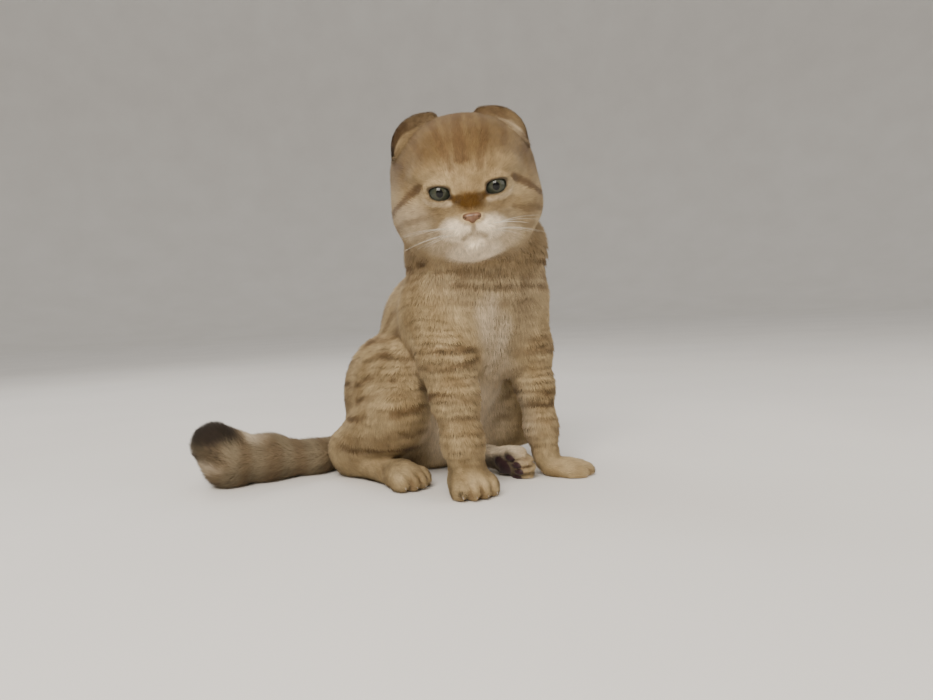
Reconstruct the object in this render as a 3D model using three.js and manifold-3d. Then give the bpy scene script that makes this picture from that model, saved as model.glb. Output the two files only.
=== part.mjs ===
// A Scottish fold cat sitting upright on a flat floor, life size, as a still model.
//
// The body is one continuous form, described by a distance field: rounded blobs and tapered
// limbs, joined smoothly. The field is meshed once for each region, at the fineness which that
// region needs, and parted by thin cuts where a person would name the parts of a cat.
//
// Units are millimetres. +Z is up, the cat's chest faces -Y and its left side is +X. The origin
// is under the middle of the model, on the floor.

import * as THREE from 'three';
import Module from 'manifold-3d';
import { mergeVertices } from 'three/addons/utils/BufferGeometryUtils.js';

const wasm = await Module();
wasm.setup();
const { Manifold, Mesh: SolidMesh } = wasm;

const RADIANS = Math.PI / 180;
const NO_TURN = [0, 0, 0];
const NO_STRETCH = [1, 1, 1];
const HERE = new THREE.Matrix4();

// Driving dimensions. Places are measured from a point on the floor between the front paws.

const ORIGIN = [-61.3, 95, 0]; // the middle of the model's outline on the floor
const CUT_GAP = 0.3; // width of the cuts between neighbouring parts
const FLOOR_REACH = 400; // half width of the slab that trims the soles flat
const FLOOR_DEPTH = 30; // half its depth

const HEAD_CENTRE = [-31.2, 17.9, 267];
const HEAD_YAW = -34; // degrees, turned toward the cat's right
const HEAD_PITCH = 12; // degrees, the nose lowered
const HEAD_ROLL = -5; // degrees, the cat's left side raised

const EYE_SPACING = 22.4; // from the middle of the face to an eye's centre
const EYE_DEPTH = -45;
const EYE_HEIGHT = -3.5;
const EYEBALL_RADIUS = 11;
const EYE_OPENING = [8.6, 12, 6]; // half width, depth and half height between the lids
const EYE_OPENING_OFFSET = [1, -10, 0]; // from the eye's centre outward, forward and up
const EYE_SLANT = 10; // degrees, the inner corners lowered
const EYE_SPLAY = 12; // degrees, the opening turned outward

// An ear's fold is an arc from its inner end, beside the crown, out and down to its outer end.
const EAR_RIBS = 12;
const EAR_ARC_CENTRE = [21, 28.5]; // outward and up
const EAR_REACH = 31; // of the arc, outward
const EAR_HEIGHTS = { 1: 26, [-1]: 27.2 }; // of the arc, by side
const EAR_ARC_POWER = 0.85; // below 1 the arc is fuller than an ellipse's
const EAR_ROOT = [0.94, 11, -8]; // share of the way outward, then back and down from the fold
const EAR_FLAP = [1.5, -15, -12]; // from the fold outward, forward and down to the free edge
const EAR_FLAP_ENDS = 0.3; // share of the flap that is left at the fold's two ends
const EAR_RADII = [5, 4.5, 4]; // at the root, the fold and the free edge

const NOSE_PLACE = [0, -66, -24];
const NOSE_SIZE = [7.4, 5, 3.5]; // half width, depth and half height of the nose leather
const NOSE_TURN = [-20, 0, 0];

const PAW_PAD = [16.5, 20, 15]; // half width, half length and half height
const TOE = [6.2, 12.5, 11.5];
const TOE_SPACING = 8.6; // from one toe's middle to the next
const TOE_SLOTS = [-1.5, -0.5, 0.5, 1.5]; // the four toes, in steps from the paw's middle
const TOE_FORWARD = 16; // from the paw's middle to the middle toes
const TOE_HEIGHT = -3;
const TOE_FAN = 2.4; // how far the toes fall back from the middle, per squared step
const METATARSUS = 82; // from the middle of a hind paw back to the heel
const HIND_FOOT_RADIUS = [14.5, 12.5]; // at the heel and at the paw
const CLAW_LENGTH = 7.5;
const CLAW_RADIUS = 1.8;
const CLAW_TILT = -158; // degrees about X, the point forward and down
const CLAW_SPACING = 9.1;
const CLAW_FORWARD = 25.6; // from the paw's middle to the middle claws
const CLAW_HEIGHT = -5.5;

// Each paw stands at its middle, with turns about X, Y and Z and a stretch along its own axes.
// The left hind foot lies on its outer side, tucked under the chest, so that its sole looks to
// the cat's right. The left front paw is spread out flat.
const PAWS = {
  hind_paw_right: placement([-74.5, 75, 11], [0, 0, 5], [1, 1, 0.88]),
  hind_paw_left: placement([21, 34, 14.5], [0, 68, 4], [0.85, 1, 0.85]),
  front_paw_right: placement([-48, 9, 11], [0, 0, -13], [1.13, 1, 0.92]),
  front_paw_left: placement([56, 2, 6.5], [0, 0, 43], [1, 1, 0.65]),
};

// Mesh fineness of each region, as the edge of one sampling cell.
const CELL_TRUNK = 24;
const CELL_LEG = 16;
const CELL_FOOT = 13;
const CELL_PAW = 8.4;
const CELL_TAIL = 16.5;
const CELL_HEAD = 10.8;
const CELL_EAR = 6.8;

// Facets of the balls and cones that cut the eyes, the nose and the claws.
const CLAIM_SEGMENTS = 12;
const EYEBALL_SEGMENTS = 14;
const NOSE_SEGMENTS = 10;
const CLAW_SEGMENTS = 6;

// How far each part reaches, as the middle and the half sizes of a ball or a box. Paws and feet
// are given in their paw's own frame, the head in its frame. X counts outward for the legs.
const HIND_PAW_CLAIM = [[0, -3, -1], [27, 26, 21]];
const HIND_FOOT_CLAIM = [[0, 52, -11], [26, 52, 29]];
const FRONT_PAW_CLAIM = [[0, -8, -11.5], [40, 42, 28.5]];
const UPPER_ARM_CLAIM = [[62, 34, 106], [50, 46, 78]];
const FOREARM_CLAIM = [[48.4, 14, 45], [26, 30, 45]];
const HIND_LEG_CLAIM = [[88, 122, 66], [56, 84, 86]];
const HEAD_CLAIM = [[0, -12, 2], [80, 84, 70]];
const NECK_CLAIM = [[0, 50, 280], [120, 110, 80]];
const NECK_TURN = [-16, 0, 0];
const TAIL_CUTS = { tail_tip: -164, tail_middle: -112, tail_base: -62 }; // places along X
const TAIL_START = [-240, 172, -20]; // beyond the tip, in front of the tail and below it
const TAIL_BACK = 250;
const TAIL_TOP = 90;
const TAIL_ROOT_TOP = 50;

// The stretch of space that is meshed for each part.
const WHOLE_BOUNDS = around([-65, 95, 170], [175, 155, 190]);
const HEAD_BOUNDS = around([-25, 20, 270], [95, 90, 90]);
const FRONT_LEG_BOUNDS = [[62, 40, 105], [70, 80, 105]];
const HIND_LEG_BOUNDS = [[87, 130, 80], [80, 110, 100]];
const PAW_REACH = [60, 60, 60];
const HIND_FOOT_REACH = [130, 130, 130];

const COLOURS = {
  gold: 0xa8845a,
  brown: 0x5c4028,
  nearBlack: 0x2c2018,
  leather: 0x8a5644,
  claw: 0xd9cdb8,
  iris: 0x6f7c62,
};

const WET = 0.15; // roughness of the eyes
const FURRY = 0.85; // and of all else

// Distance field: each shape is a function of a point that is negative inside.

// An ellipsoid with given half sizes, turned by Euler angles in degrees.
function blob(centre, radii, turn = NO_TURN) {
  const euler = new THREE.Euler(...turn.map((angle) => angle * RADIANS), 'ZXY');
  const e = new THREE.Matrix4().makeRotationFromEuler(euler).elements;
  const [cx, cy, cz] = centre;
  const [rx, ry, rz] = radii;
  return (x, y, z) => {
    const dx = x - cx;
    const dy = y - cy;
    const dz = z - cz;
    const px = (dx * e[0] + dy * e[1] + dz * e[2]) / rx;
    const py = (dx * e[4] + dy * e[5] + dz * e[6]) / ry;
    const pz = (dx * e[8] + dy * e[9] + dz * e[10]) / rz;
    const reach = Math.hypot(px, py, pz);
    const slope = Math.hypot(px / rx, py / ry, pz / rz);
    return slope > 0 ? (reach * (reach - 1)) / slope : -Math.min(rx, ry, rz);
  };
}

// A limb from a to b whose radius goes evenly from one end's to the other's.
function limb(a, radiusA, b, radiusB) {
  const ab = b.map((value, axis) => value - a[axis]);
  const lengthSquared = ab[0] ** 2 + ab[1] ** 2 + ab[2] ** 2;
  return (x, y, z) => {
    const dx = x - a[0];
    const dy = y - a[1];
    const dz = z - a[2];
    const along = (dx * ab[0] + dy * ab[1] + dz * ab[2]) / lengthSquared;
    const t = Math.min(1, Math.max(0, along));
    const distance = Math.hypot(dx - t * ab[0], dy - t * ab[1], dz - t * ab[2]);
    return distance - radiusA - t * (radiusB - radiusA);
  };
}

// Joins shapes into one, with a fillet of about the given width where they meet.
function join(blend, ...shapes) {
  return (x, y, z) => {
    let distance = shapes[0](x, y, z);
    for (let i = 1; i < shapes.length; i += 1) {
      const other = shapes[i](x, y, z);
      const overlap = Math.max(blend - Math.abs(distance - other), 0) / blend;
      distance = Math.min(distance, other) - (overlap * overlap * blend) / 4;
    }
    return distance;
  };
}

// A chain of limbs through stations, each a point and the radius there.
function chain(blend, stations) {
  const links = [];
  for (let i = 1; i < stations.length; i += 1) {
    const [ax, ay, az, radiusA] = stations[i - 1];
    const [bx, by, bz, radiusB] = stations[i];
    links.push(limb([ax, ay, az], radiusA, [bx, by, bz], radiusB));
  }
  return join(blend, ...links);
}

// Moves a shape that is drawn around a local origin into the place given by a matrix.
function placed(matrix, shape) {
  const e = matrix.clone().invert().elements;
  return (x, y, z) => shape(
    e[0] * x + e[4] * y + e[8] * z + e[12],
    e[1] * x + e[5] * y + e[9] * z + e[13],
    e[2] * x + e[6] * y + e[10] * z + e[14],
  );
}

function placement(position, turn = NO_TURN, stretch = NO_STRETCH) {
  const euler = new THREE.Euler(...turn.map((angle) => angle * RADIANS), 'ZXY');
  const matrix = new THREE.Matrix4().makeRotationFromEuler(euler);
  return matrix.scale(new THREE.Vector3(...stretch)).setPosition(...position);
}

// Head, drawn round its own centre: -Y is the way the face looks.

const headFrame = placement(HEAD_CENTRE, [HEAD_PITCH, HEAD_ROLL, HEAD_YAW]);

function headShape() {
  const bothSides = [1, -1].flatMap((side) => [
    blob([32 * side, -8, -20], [33, 42, 34]), // cheek
    blob([24 * side, -42, 12], [17, 14, 10]), // brow
    blob([11 * side, -55, -32], [14, 12, 12]), // whisker pad
    blob([22 * side, -26, -42], [24, 26, 18]), // jaw
  ]);
  return join(
    14,
    blob([0, 6, 8], [63, 56, 48.5]), // skull
    blob([0, -16, 17], [48, 38, 36]), // forehead
    blob([0, -42, -30], [31, 22, 22]), // muzzle
    blob([0, -44, -48.5], [18, 15, 13]), // chin
    limb([0, -46, 2], 10, [0, -60, -18], 8), // bridge of the nose
    ...bothSides,
  );
}

const headField = placed(headFrame, headShape());

// An ear is set low on the skull, rises a little and folds over forward, tip down.
// It is a fan of short ribs: across runs from its inner end (0) to its outer end (1).
function earShape(side) {
  const ribs = [];
  const [centreOut, centreUp] = EAR_ARC_CENTRE;
  const [rootShare, rootBack, rootDown] = EAR_ROOT;
  const [rootRadius, foldRadius, edgeRadius] = EAR_RADII;
  for (let i = 0; i < EAR_RIBS; i += 1) {
    const across = i / (EAR_RIBS - 1);
    const angle = (Math.PI / 2) * across;
    const out = centreOut + EAR_REACH * Math.sin(angle) ** EAR_ARC_POWER;
    const up = centreUp + EAR_HEIGHTS[side] * Math.cos(angle) ** EAR_ARC_POWER;
    const root = [side * rootShare * out, rootBack, up + rootDown];
    const fold = [side * out, -2, up];
    const reach = EAR_FLAP_ENDS + (1 - EAR_FLAP_ENDS) * Math.sin(across * Math.PI);
    const edge = [
      fold[0] + side * EAR_FLAP[0] * reach,
      fold[1] + EAR_FLAP[1] * reach,
      fold[2] + EAR_FLAP[2] * reach,
    ];
    ribs.push(chain(4, [[...root, rootRadius], [...fold, foldRadius], [...edge, edgeRadius]]));
  }
  return join(5, ...ribs);
}

// Neck and trunk.

const trunkField = join(
  30,
  blob([-2, 43, 213], [71, 58, 50]), // neck
  blob([0, 50, 161], [62, 52, 60], [12, 0, 0]), // chest and shoulders
  blob([-2, 101, 130], [63, 64, 76], [-28, 0, 0]), // ribs
  blob([-1, 140, 74], [68, 68, 72], [-20, 0, 0]), // loins and belly
  blob([0, 158, 40], [74, 62, 46]), // rump on the floor
  limb([-8, 58, 247], 22, [6, 96, 198], 20), // nape
  limb([6, 96, 198], 20, [4, 132, 150], 24), // withers
);

// Front legs: stations from the shoulder down to the wrist, then the paw.

const frontLegFields = [
  join(
    8,
    chain(10, [
      [-42, 50, 158, 35],
      [-50, 30, 118, 26],
      [-51, 20, 84, 21],
      [-50, 13, 46, 18],
      [-49, 9, 20, 16],
    ]),
    placed(PAWS.front_paw_right, pawShape()),
  ),
  join(
    8,
    chain(10, [
      [37, 44, 161, 35],
      [41.5, 28, 120, 22.5],
      [42.5, 22, 84, 18],
      [43.5, 17, 46, 15.5],
      [45, 13, 18, 13.5],
    ]),
    placed(PAWS.front_paw_left, pawShape()),
  ),
];

// A paw, drawn round its own middle and pointing along -Y: the pad with four toes ahead of it.
function pawShape() {
  const toes = TOE_SLOTS.map((slot) => {
    const forward = TOE_FORWARD - TOE_FAN * slot * slot;
    return blob([slot * TOE_SPACING, -forward, TOE_HEIGHT], TOE);
  });
  return join(5, blob([0, 0, 0], PAW_PAD), ...toes);
}

// The long hind foot runs back from its paw to the heel.
function hindFootShape() {
  const [heelRadius, pawRadius] = HIND_FOOT_RADIUS;
  return join(8, pawShape(), limb([0, METATARSUS, 1], heelRadius, [0, 8, -1], pawRadius));
}

// Hind legs: a big thigh, and a shank folded under it down to the heel.

const hindLegFields = [
  join(
    16,
    blob([-61, 120, 78], [35, 63, 60], [-14, 0, 0]), // thigh
    limb([-74, 78, 70], 24, [-85, 152, 28], 24), // shank
    placed(PAWS.hind_paw_right, hindFootShape()),
  ),
  join(
    14,
    blob([60, 122, 66], [38, 62, 54], [-8, 0, 10]), // thigh
    limb([74, 88, 40], 26, [17, 118, 20], 18), // shank
    placed(PAWS.hind_paw_left, hindFootShape()),
  ),
];

// Tail: laid on the floor, sweeping to the cat's right with its tip curled up.

const tailField = chain(10, [
  [-10, 196, 24, 26],
  [-60, 200, 18, 20],
  [-105, 194, 16, 18],
  [-150, 202, 21, 23],
  [-186, 208, 25, 27],
  [-200, 208, 40, 23],
]);

// The whole body. Each limb blends into the trunk, but never into another limb.

function nearest(...shapes) {
  return (x, y, z) => Math.min(...shapes.map((shape) => shape(x, y, z)));
}

const bodyField = nearest(
  join(14, trunkField, headField),
  ...frontLegFields.map((leg) => join(22, trunkField, leg)),
  ...hindLegFields.map((leg) => join(16, trunkField, leg)),
  join(16, trunkField, tailField),
);

// Meshing: one point for each sheet of the surface in each cell that it crosses, drawn onto
// the surface. A corner's number holds its place along X, Y and Z in its three lowest bits.

const SLOPE_STEP = 0.5;
const SURFACE_ROUNDS = 3;
const LARGEST_MOVE = 0.6; // of a cell, for a point that is drawn onto the surface
const CORNERS = [0, 1, 2, 3, 4, 5, 6, 7].map((i) => [i & 1, (i >> 1) & 1, (i >> 2) & 1]);
const CELL_EDGES = CORNERS.flatMap((corner, i) => [1, 2, 4]
  .filter((bit) => !(i & bit))
  .map((bit) => [i, i | bit]));
const CELL_FACES = [1, 2, 4].flatMap((bit) => [0, bit].map((value) => CELL_EDGES
  .map((edge, index) => index)
  .filter((index) => CELL_EDGES[index].every((corner) => (corner & bit) === value))));

// Groups a cell's crossed edges by sheet: two crossed edges of a face are on one sheet, and
// where all four are crossed, the two that meet at a corner inside the body are.
function sheetsOf(inside) {
  const crossed = CELL_EDGES.map(([a, b]) => inside[a] !== inside[b]);
  const sheet = CELL_EDGES.map((edge, index) => index);
  const merge = (first, second) => {
    const [kept, dropped] = [sheet[first], sheet[second]];
    sheet.forEach((value, index) => {
      if (value === dropped) sheet[index] = kept;
    });
  };
  for (const face of CELL_FACES) {
    const edges = face.filter((index) => crossed[index]);
    if (edges.length === 2) merge(...edges);
    if (edges.length === 4) {
      for (const first of edges) {
        for (const second of edges) {
          const shared = CELL_EDGES[first].find((corner) => CELL_EDGES[second].includes(corner));
          if (first < second && shared !== undefined && inside[shared]) merge(first, second);
        }
      }
    }
  }
  const groups = new Map();
  CELL_EDGES.forEach((edge, index) => {
    if (!crossed[index]) return;
    groups.set(sheet[index], [...(groups.get(sheet[index]) || []), index]);
  });
  return [...groups.values()];
}

function fieldSlope(field, [x, y, z]) {
  const step = SLOPE_STEP;
  return [
    (field(x + step, y, z) - field(x - step, y, z)) / (2 * step),
    (field(x, y + step, z) - field(x, y - step, z)) / (2 * step),
    (field(x, y, z + step) - field(x, y, z - step)) / (2 * step),
  ];
}

// Moves a point along the field's slope onto the surface, by no more than limit.
function ontoSurface(field, start, limit) {
  let point = start;
  for (let round = 0; round < SURFACE_ROUNDS; round += 1) {
    const value = field(...point);
    const slope = fieldSlope(field, point);
    const steepness = slope[0] ** 2 + slope[1] ** 2 + slope[2] ** 2 || 1;
    point = point.map((coordinate, axis) => coordinate - (value * slope[axis]) / steepness);
  }
  const moved = Math.hypot(...point.map((coordinate, axis) => coordinate - start[axis]));
  return moved > limit ? start : point;
}

// Samples the field on a grid whose rim is kept outside the body, so that its mesh is closed.
function sampleField(field, { low, high }, cell) {
  const counts = low.map((value, axis) => Math.ceil((high[axis] - value) / cell) + 1);
  const indexOf = (i, j, k) => (k * counts[1] + j) * counts[0] + i;
  const values = new Float64Array(counts[0] * counts[1] * counts[2]);
  for (let k = 0; k < counts[2]; k += 1) {
    for (let j = 0; j < counts[1]; j += 1) {
      for (let i = 0; i < counts[0]; i += 1) {
        const value = field(low[0] + i * cell, low[1] + j * cell, low[2] + k * cell);
        const onRim = [i, j, k].some((step, axis) => step === 0 || step === counts[axis] - 1);
        values[indexOf(i, j, k)] = onRim ? Math.max(value, cell / 2) : value;
      }
    }
  }
  return { low, cell, counts, indexOf, values };
}

// The places of all cells of a grid.
function* cellsOf({ counts }) {
  for (let k = 0; k < counts[2] - 1; k += 1) {
    for (let j = 0; j < counts[1] - 1; j += 1) {
      for (let i = 0; i < counts[0] - 1; i += 1) yield [i, j, k];
    }
  }
}

// One point for each sheet in each cell, and for each cell the point that each edge leads to.
function placePoints(field, grid) {
  const points = [];
  const pointsOfCell = new Map();
  for (const place of cellsOf(grid)) {
    const [i, j, k] = place;
    const corner = CORNERS.map(([a, b, c]) => grid.values[grid.indexOf(i + a, j + b, k + c)]);
    const inside = corner.map((value) => value < 0);
    if (inside.every((value) => value === inside[0])) continue;
    const pointOfEdge = [];
    for (const sheet of sheetsOf(inside)) {
      const sum = [0, 0, 0];
      for (const index of sheet) {
        const [a, b] = CELL_EDGES[index];
        const t = corner[a] / (corner[a] - corner[b]);
        for (let axis = 0; axis < 3; axis += 1) {
          sum[axis] += CORNERS[a][axis] + t * (CORNERS[b][axis] - CORNERS[a][axis]);
        }
        pointOfEdge[index] = points.length;
      }
      const middle = place.map((step, axis) => step + sum[axis] / sheet.length);
      const start = middle.map((step, axis) => grid.low[axis] + grid.cell * step);
      points.push(ontoSurface(field, start, grid.cell * LARGEST_MOVE));
    }
    pointsOfCell.set(grid.indexOf(i, j, k), pointOfEdge);
  }
  return { points, pointsOfCell };
}

// Two triangles across each grid edge that the surface crosses, parted at the shorter diagonal.
function joinPoints(grid, points, pointsOfCell) {
  const triangles = [];
  const span = (p, q) => Math.hypot(...points[p].map((value, axis) => value - points[q][axis]));
  for (const place of cellsOf(grid)) {
    const inside = grid.values[grid.indexOf(...place)] < 0;
    for (let axis = 0; axis < 3; axis += 1) {
      const next = place.map((step, other) => (other === axis ? step + 1 : step));
      if (inside === grid.values[grid.indexOf(...next)] < 0) continue;
      const u = (axis + 1) % 3;
      const v = (axis + 2) % 3;
      const pointAt = (du, dv) => {
        const cell = [...place];
        cell[u] -= du;
        cell[v] -= dv;
        const start = du * (1 << u) + dv * (1 << v);
        const end = start | (1 << axis);
        const edge = CELL_EDGES.findIndex(([a, b]) => a === start && b === end);
        return pointsOfCell.get(grid.indexOf(...cell))[edge];
      };
      const quad = [pointAt(0, 0), pointAt(1, 0), pointAt(1, 1), pointAt(0, 1)];
      const [a, b, c, d] = inside ? quad : quad.reverse();
      if (span(a, c) <= span(b, d)) triangles.push(a, b, c, a, c, d);
      else triangles.push(b, c, d, b, d, a);
    }
  }
  return triangles;
}

function meshField(field, bounds, cell) {
  const grid = sampleField(field, bounds, cell);
  const { points, pointsOfCell } = placePoints(field, grid);
  return new Manifold(new SolidMesh({
    numProp: 3,
    vertProperties: new Float32Array(points.flat()),
    triVerts: new Uint32Array(joinPoints(grid, points, pointsOfCell)),
  }));
}

// Solids for cutting, made from three.js geometries.

function solidOf(geometry, matrix) {
  const bare = geometry.clone();
  bare.deleteAttribute('normal');
  bare.deleteAttribute('uv');
  const merged = mergeVertices(bare, 1e-4).applyMatrix4(matrix);
  return new Manifold(new SolidMesh({
    numProp: 3,
    vertProperties: new Float32Array(merged.attributes.position.array),
    triVerts: new Uint32Array(merged.index.array),
  }));
}

function ballSolid(centre, radii, turn = NO_TURN, frame = HERE, segments = CLAIM_SEGMENTS) {
  const geometry = new THREE.SphereGeometry(1, segments, segments / 2);
  const matrix = placement(centre, turn).scale(new THREE.Vector3(...radii)).premultiply(frame);
  return solidOf(geometry, matrix);
}

function boxSolid(centre, halfSizes, turn = NO_TURN, frame = HERE) {
  const geometry = new THREE.BoxGeometry(...halfSizes.map((half) => 2 * half));
  return solidOf(geometry, placement(centre, turn).premultiply(frame));
}

// The largest body of a cut solid, without the crumbs that a cut can leave beside it.
function withoutCrumbs(solid) {
  const bodies = solid.decompose();
  return bodies.reduce((largest, body) => (body.volume() > largest.volume() ? body : largest));
}

const floorSlab = boxSolid([0, 0, -FLOOR_DEPTH], [FLOOR_REACH, FLOOR_REACH, FLOOR_DEPTH]);

// Regions, in the order in which they claim the body. Each takes what is left of its claim,
// which is a solid that grows by the given gap. The trunk takes the rest.

const grown = (sizes, gap) => sizes.map((size) => size + gap);

const ballClaim = ([centre, radii], frame) => (gap) => (
  ballSolid(centre, grown(radii, gap), NO_TURN, frame)
);

const boxClaim = ([centre, halfSizes], turn, frame) => (gap) => (
  boxSolid(centre, grown(halfSizes, gap), turn, frame)
);

const eitherClaim = (first, second) => (gap) => first(gap).add(second(gap));

// A claim or bounds for a leg, on the cat's left (1) or right (-1).
const onSide = ([[x, y, z], sizes], side) => [[x * side, y, z], sizes];

function around(middle, reach) {
  return {
    low: middle.map((value, axis) => value - reach[axis]),
    high: middle.map((value, axis) => value + reach[axis]),
  };
}

function aroundPaw(frame, reach) {
  return around(new THREE.Vector3().setFromMatrixPosition(frame).toArray(), reach);
}

// Everything behind the seat that lies beyond a place along X.
function tailClaim(cutX, top) {
  const end = [cutX, TAIL_BACK, top];
  const middle = TAIL_START.map((value, axis) => (value + end[axis]) / 2);
  const halfSizes = TAIL_START.map((value, axis) => (end[axis] - value) / 2);
  return boxClaim([middle, halfSizes]);
}

const regions = [];
for (const side of ['right', 'left']) {
  const frame = PAWS[`hind_paw_${side}`];
  regions.push({
    name: `hind_paw_${side}`,
    cell: CELL_PAW,
    bounds: aroundPaw(frame, PAW_REACH),
    claim: ballClaim(HIND_PAW_CLAIM, frame),
  }, {
    name: `hind_foot_${side}`,
    cell: CELL_FOOT,
    bounds: aroundPaw(frame, HIND_FOOT_REACH),
    claim: boxClaim(HIND_FOOT_CLAIM, NO_TURN, frame),
  });
}
for (const [word, side] of [['right', -1], ['left', 1]]) {
  const frame = PAWS[`front_paw_${word}`];
  regions.push({
    name: `front_paw_${word}`,
    cell: CELL_PAW,
    bounds: aroundPaw(frame, PAW_REACH),
    claim: boxClaim(FRONT_PAW_CLAIM, NO_TURN, frame),
  }, {
    name: `front_leg_${word}`,
    cell: CELL_LEG,
    bounds: around(...onSide(FRONT_LEG_BOUNDS, side)),
    claim: eitherClaim(
      ballClaim(onSide(UPPER_ARM_CLAIM, side)),
      boxClaim(onSide(FOREARM_CLAIM, side)),
    ),
  }, {
    name: `hind_leg_${word}`,
    cell: CELL_LEG,
    bounds: around(...onSide(HIND_LEG_BOUNDS, side)),
    claim: ballClaim(onSide(HIND_LEG_CLAIM, side)),
  });
}
regions.push({
  name: 'head',
  cell: CELL_HEAD,
  bounds: HEAD_BOUNDS,
  claim: ballClaim(HEAD_CLAIM, headFrame),
}, {
  name: 'neck',
  cell: CELL_TRUNK,
  bounds: WHOLE_BOUNDS,
  claim: boxClaim(NECK_CLAIM, NECK_TURN),
});
for (const [name, cutX] of Object.entries(TAIL_CUTS)) {
  regions.push({
    name,
    cell: CELL_TAIL,
    bounds: WHOLE_BOUNDS,
    colour: name === 'tail_tip' ? COLOURS.nearBlack : COLOURS.brown,
    claim: tailClaim(cutX, name === 'tail_base' ? TAIL_ROOT_TOP : TAIL_TOP),
  });
}
regions.push({ name: 'trunk', cell: CELL_TRUNK, bounds: WHOLE_BOUNDS });

const solids = {};
const meshedBounds = new Map();
const claims = [];
for (const { name, cell, bounds, claim, colour = COLOURS.gold } of regions) {
  const key = [bounds.low, bounds.high, cell].join();
  if (!meshedBounds.has(key)) meshedBounds.set(key, meshField(bodyField, bounds, cell));
  let solid = meshedBounds.get(key).subtract(floorSlab);
  if (claim) solid = solid.intersect(claim(0));
  for (const earlier of claims) solid = solid.subtract(earlier(CUT_GAP));
  if (claim) claims.push(claim);
  solids[name] = { solid: withoutCrumbs(solid), colour };
}

// Eyes: whole eyeballs, seen through openings cut between the lids.

for (const [word, side] of [['right', -1], ['left', 1]]) {
  const centre = [EYE_SPACING * side, EYE_DEPTH, EYE_HEIGHT];
  const [outward, forward, up] = EYE_OPENING_OFFSET;
  const eyeball = (gap) => ballSolid(
    centre,
    Array(3).fill(EYEBALL_RADIUS + gap),
    [90, 0, 0],
    headFrame,
    EYEBALL_SEGMENTS,
  );
  const opening = ballSolid(
    [centre[0] + outward * side, centre[1] + forward, centre[2] + up],
    EYE_OPENING,
    [0, -EYE_SLANT * side, EYE_SPLAY * side],
    headFrame,
  );
  solids.head.solid = solids.head.solid.subtract(eyeball(CUT_GAP)).subtract(opening);
  solids[`eye_${word}`] = { solid: eyeball(0), colour: COLOURS.iris };
}

// Nose leather, let into the end of the muzzle.

const noseSolid = (gap) => (
  ballSolid(NOSE_PLACE, grown(NOSE_SIZE, gap), NOSE_TURN, headFrame, NOSE_SEGMENTS)
);
solids.head.solid = solids.head.solid.subtract(noseSolid(CUT_GAP));
solids.nose = { solid: noseSolid(0), colour: COLOURS.leather };

// Claws: one small cone out of each toe, let into the paw.

for (const [pawName, frame] of Object.entries(PAWS)) {
  TOE_SLOTS.forEach((slot, index) => {
    const middle = [slot * CLAW_SPACING, TOE_FAN * slot * slot - CLAW_FORWARD, CLAW_HEIGHT];
    const clawSolid = (gap) => solidOf(
      new THREE.ConeGeometry(CLAW_RADIUS + gap, CLAW_LENGTH + 2 * gap, CLAW_SEGMENTS),
      placement(middle, [CLAW_TILT, 0, 0]).premultiply(frame),
    );
    solids[pawName].solid = solids[pawName].solid.subtract(clawSolid(CUT_GAP));
    const name = pawName.replace('paw', 'claw');
    solids[`${name}_${index + 1}`] = { solid: clawSolid(0), colour: COLOURS.claw };
  });
}

// Ears, standing on the head and cut to its surface.

const swollenHead = meshField(
  (x, y, z) => headField(x, y, z) - 2 * CUT_GAP,
  HEAD_BOUNDS,
  CELL_HEAD,
);
for (const [word, side] of [['right', -1], ['left', 1]]) {
  const ear = meshField(placed(headFrame, earShape(side)), HEAD_BOUNDS, CELL_EAR);
  solids[`ear_${word}`] = { solid: withoutCrumbs(ear.subtract(swollenHead)), colour: COLOURS.brown };
}

// The scene graph: one mesh for each part.

function geometryOf(solid) {
  const mesh = solid.getMesh();
  const geometry = new THREE.BufferGeometry();
  geometry.setAttribute('position', new THREE.BufferAttribute(new Float32Array(mesh.vertProperties), 3));
  geometry.setIndex(new THREE.BufferAttribute(new Uint32Array(mesh.triVerts), 1));
  return geometry;
}

const cat = new THREE.Group();
cat.position.set(...ORIGIN.map((value) => -value));
for (const [name, { solid, colour }] of Object.entries(solids)) {
  const roughness = name.startsWith('eye') ? WET : FURRY;
  const material = new THREE.MeshStandardMaterial({ color: colour, roughness, metalness: 0 });
  const mesh = new THREE.Mesh(geometryOf(solid), material);
  mesh.name = name;
  cat.add(mesh);
}

export default cat;
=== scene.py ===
"""A Scottish fold cat with its skin and coat, sitting as in the photograph.

Lengths are millimetres in the cat's own frame, measured from a point on the floor between its
front paws: X to the cat's left, Y to its back, Z up. A mesh gets metres when it is made.
"""
import itertools
import math

import bmesh
import bpy
import numpy as np
import openvdb
from mathutils import Matrix, Vector


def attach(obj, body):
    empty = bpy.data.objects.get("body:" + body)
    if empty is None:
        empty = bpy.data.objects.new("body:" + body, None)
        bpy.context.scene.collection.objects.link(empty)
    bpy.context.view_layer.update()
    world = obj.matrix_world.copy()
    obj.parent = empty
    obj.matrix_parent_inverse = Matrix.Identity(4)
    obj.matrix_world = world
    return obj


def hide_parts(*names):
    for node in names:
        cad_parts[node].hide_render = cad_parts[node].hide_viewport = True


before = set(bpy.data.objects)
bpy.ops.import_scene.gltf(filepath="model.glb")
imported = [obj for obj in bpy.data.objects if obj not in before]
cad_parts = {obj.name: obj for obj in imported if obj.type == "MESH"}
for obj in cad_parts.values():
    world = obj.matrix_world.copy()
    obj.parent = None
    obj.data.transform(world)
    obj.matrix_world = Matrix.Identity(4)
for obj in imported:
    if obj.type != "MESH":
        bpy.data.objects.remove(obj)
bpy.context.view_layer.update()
rng = np.random.default_rng(7)

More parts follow.
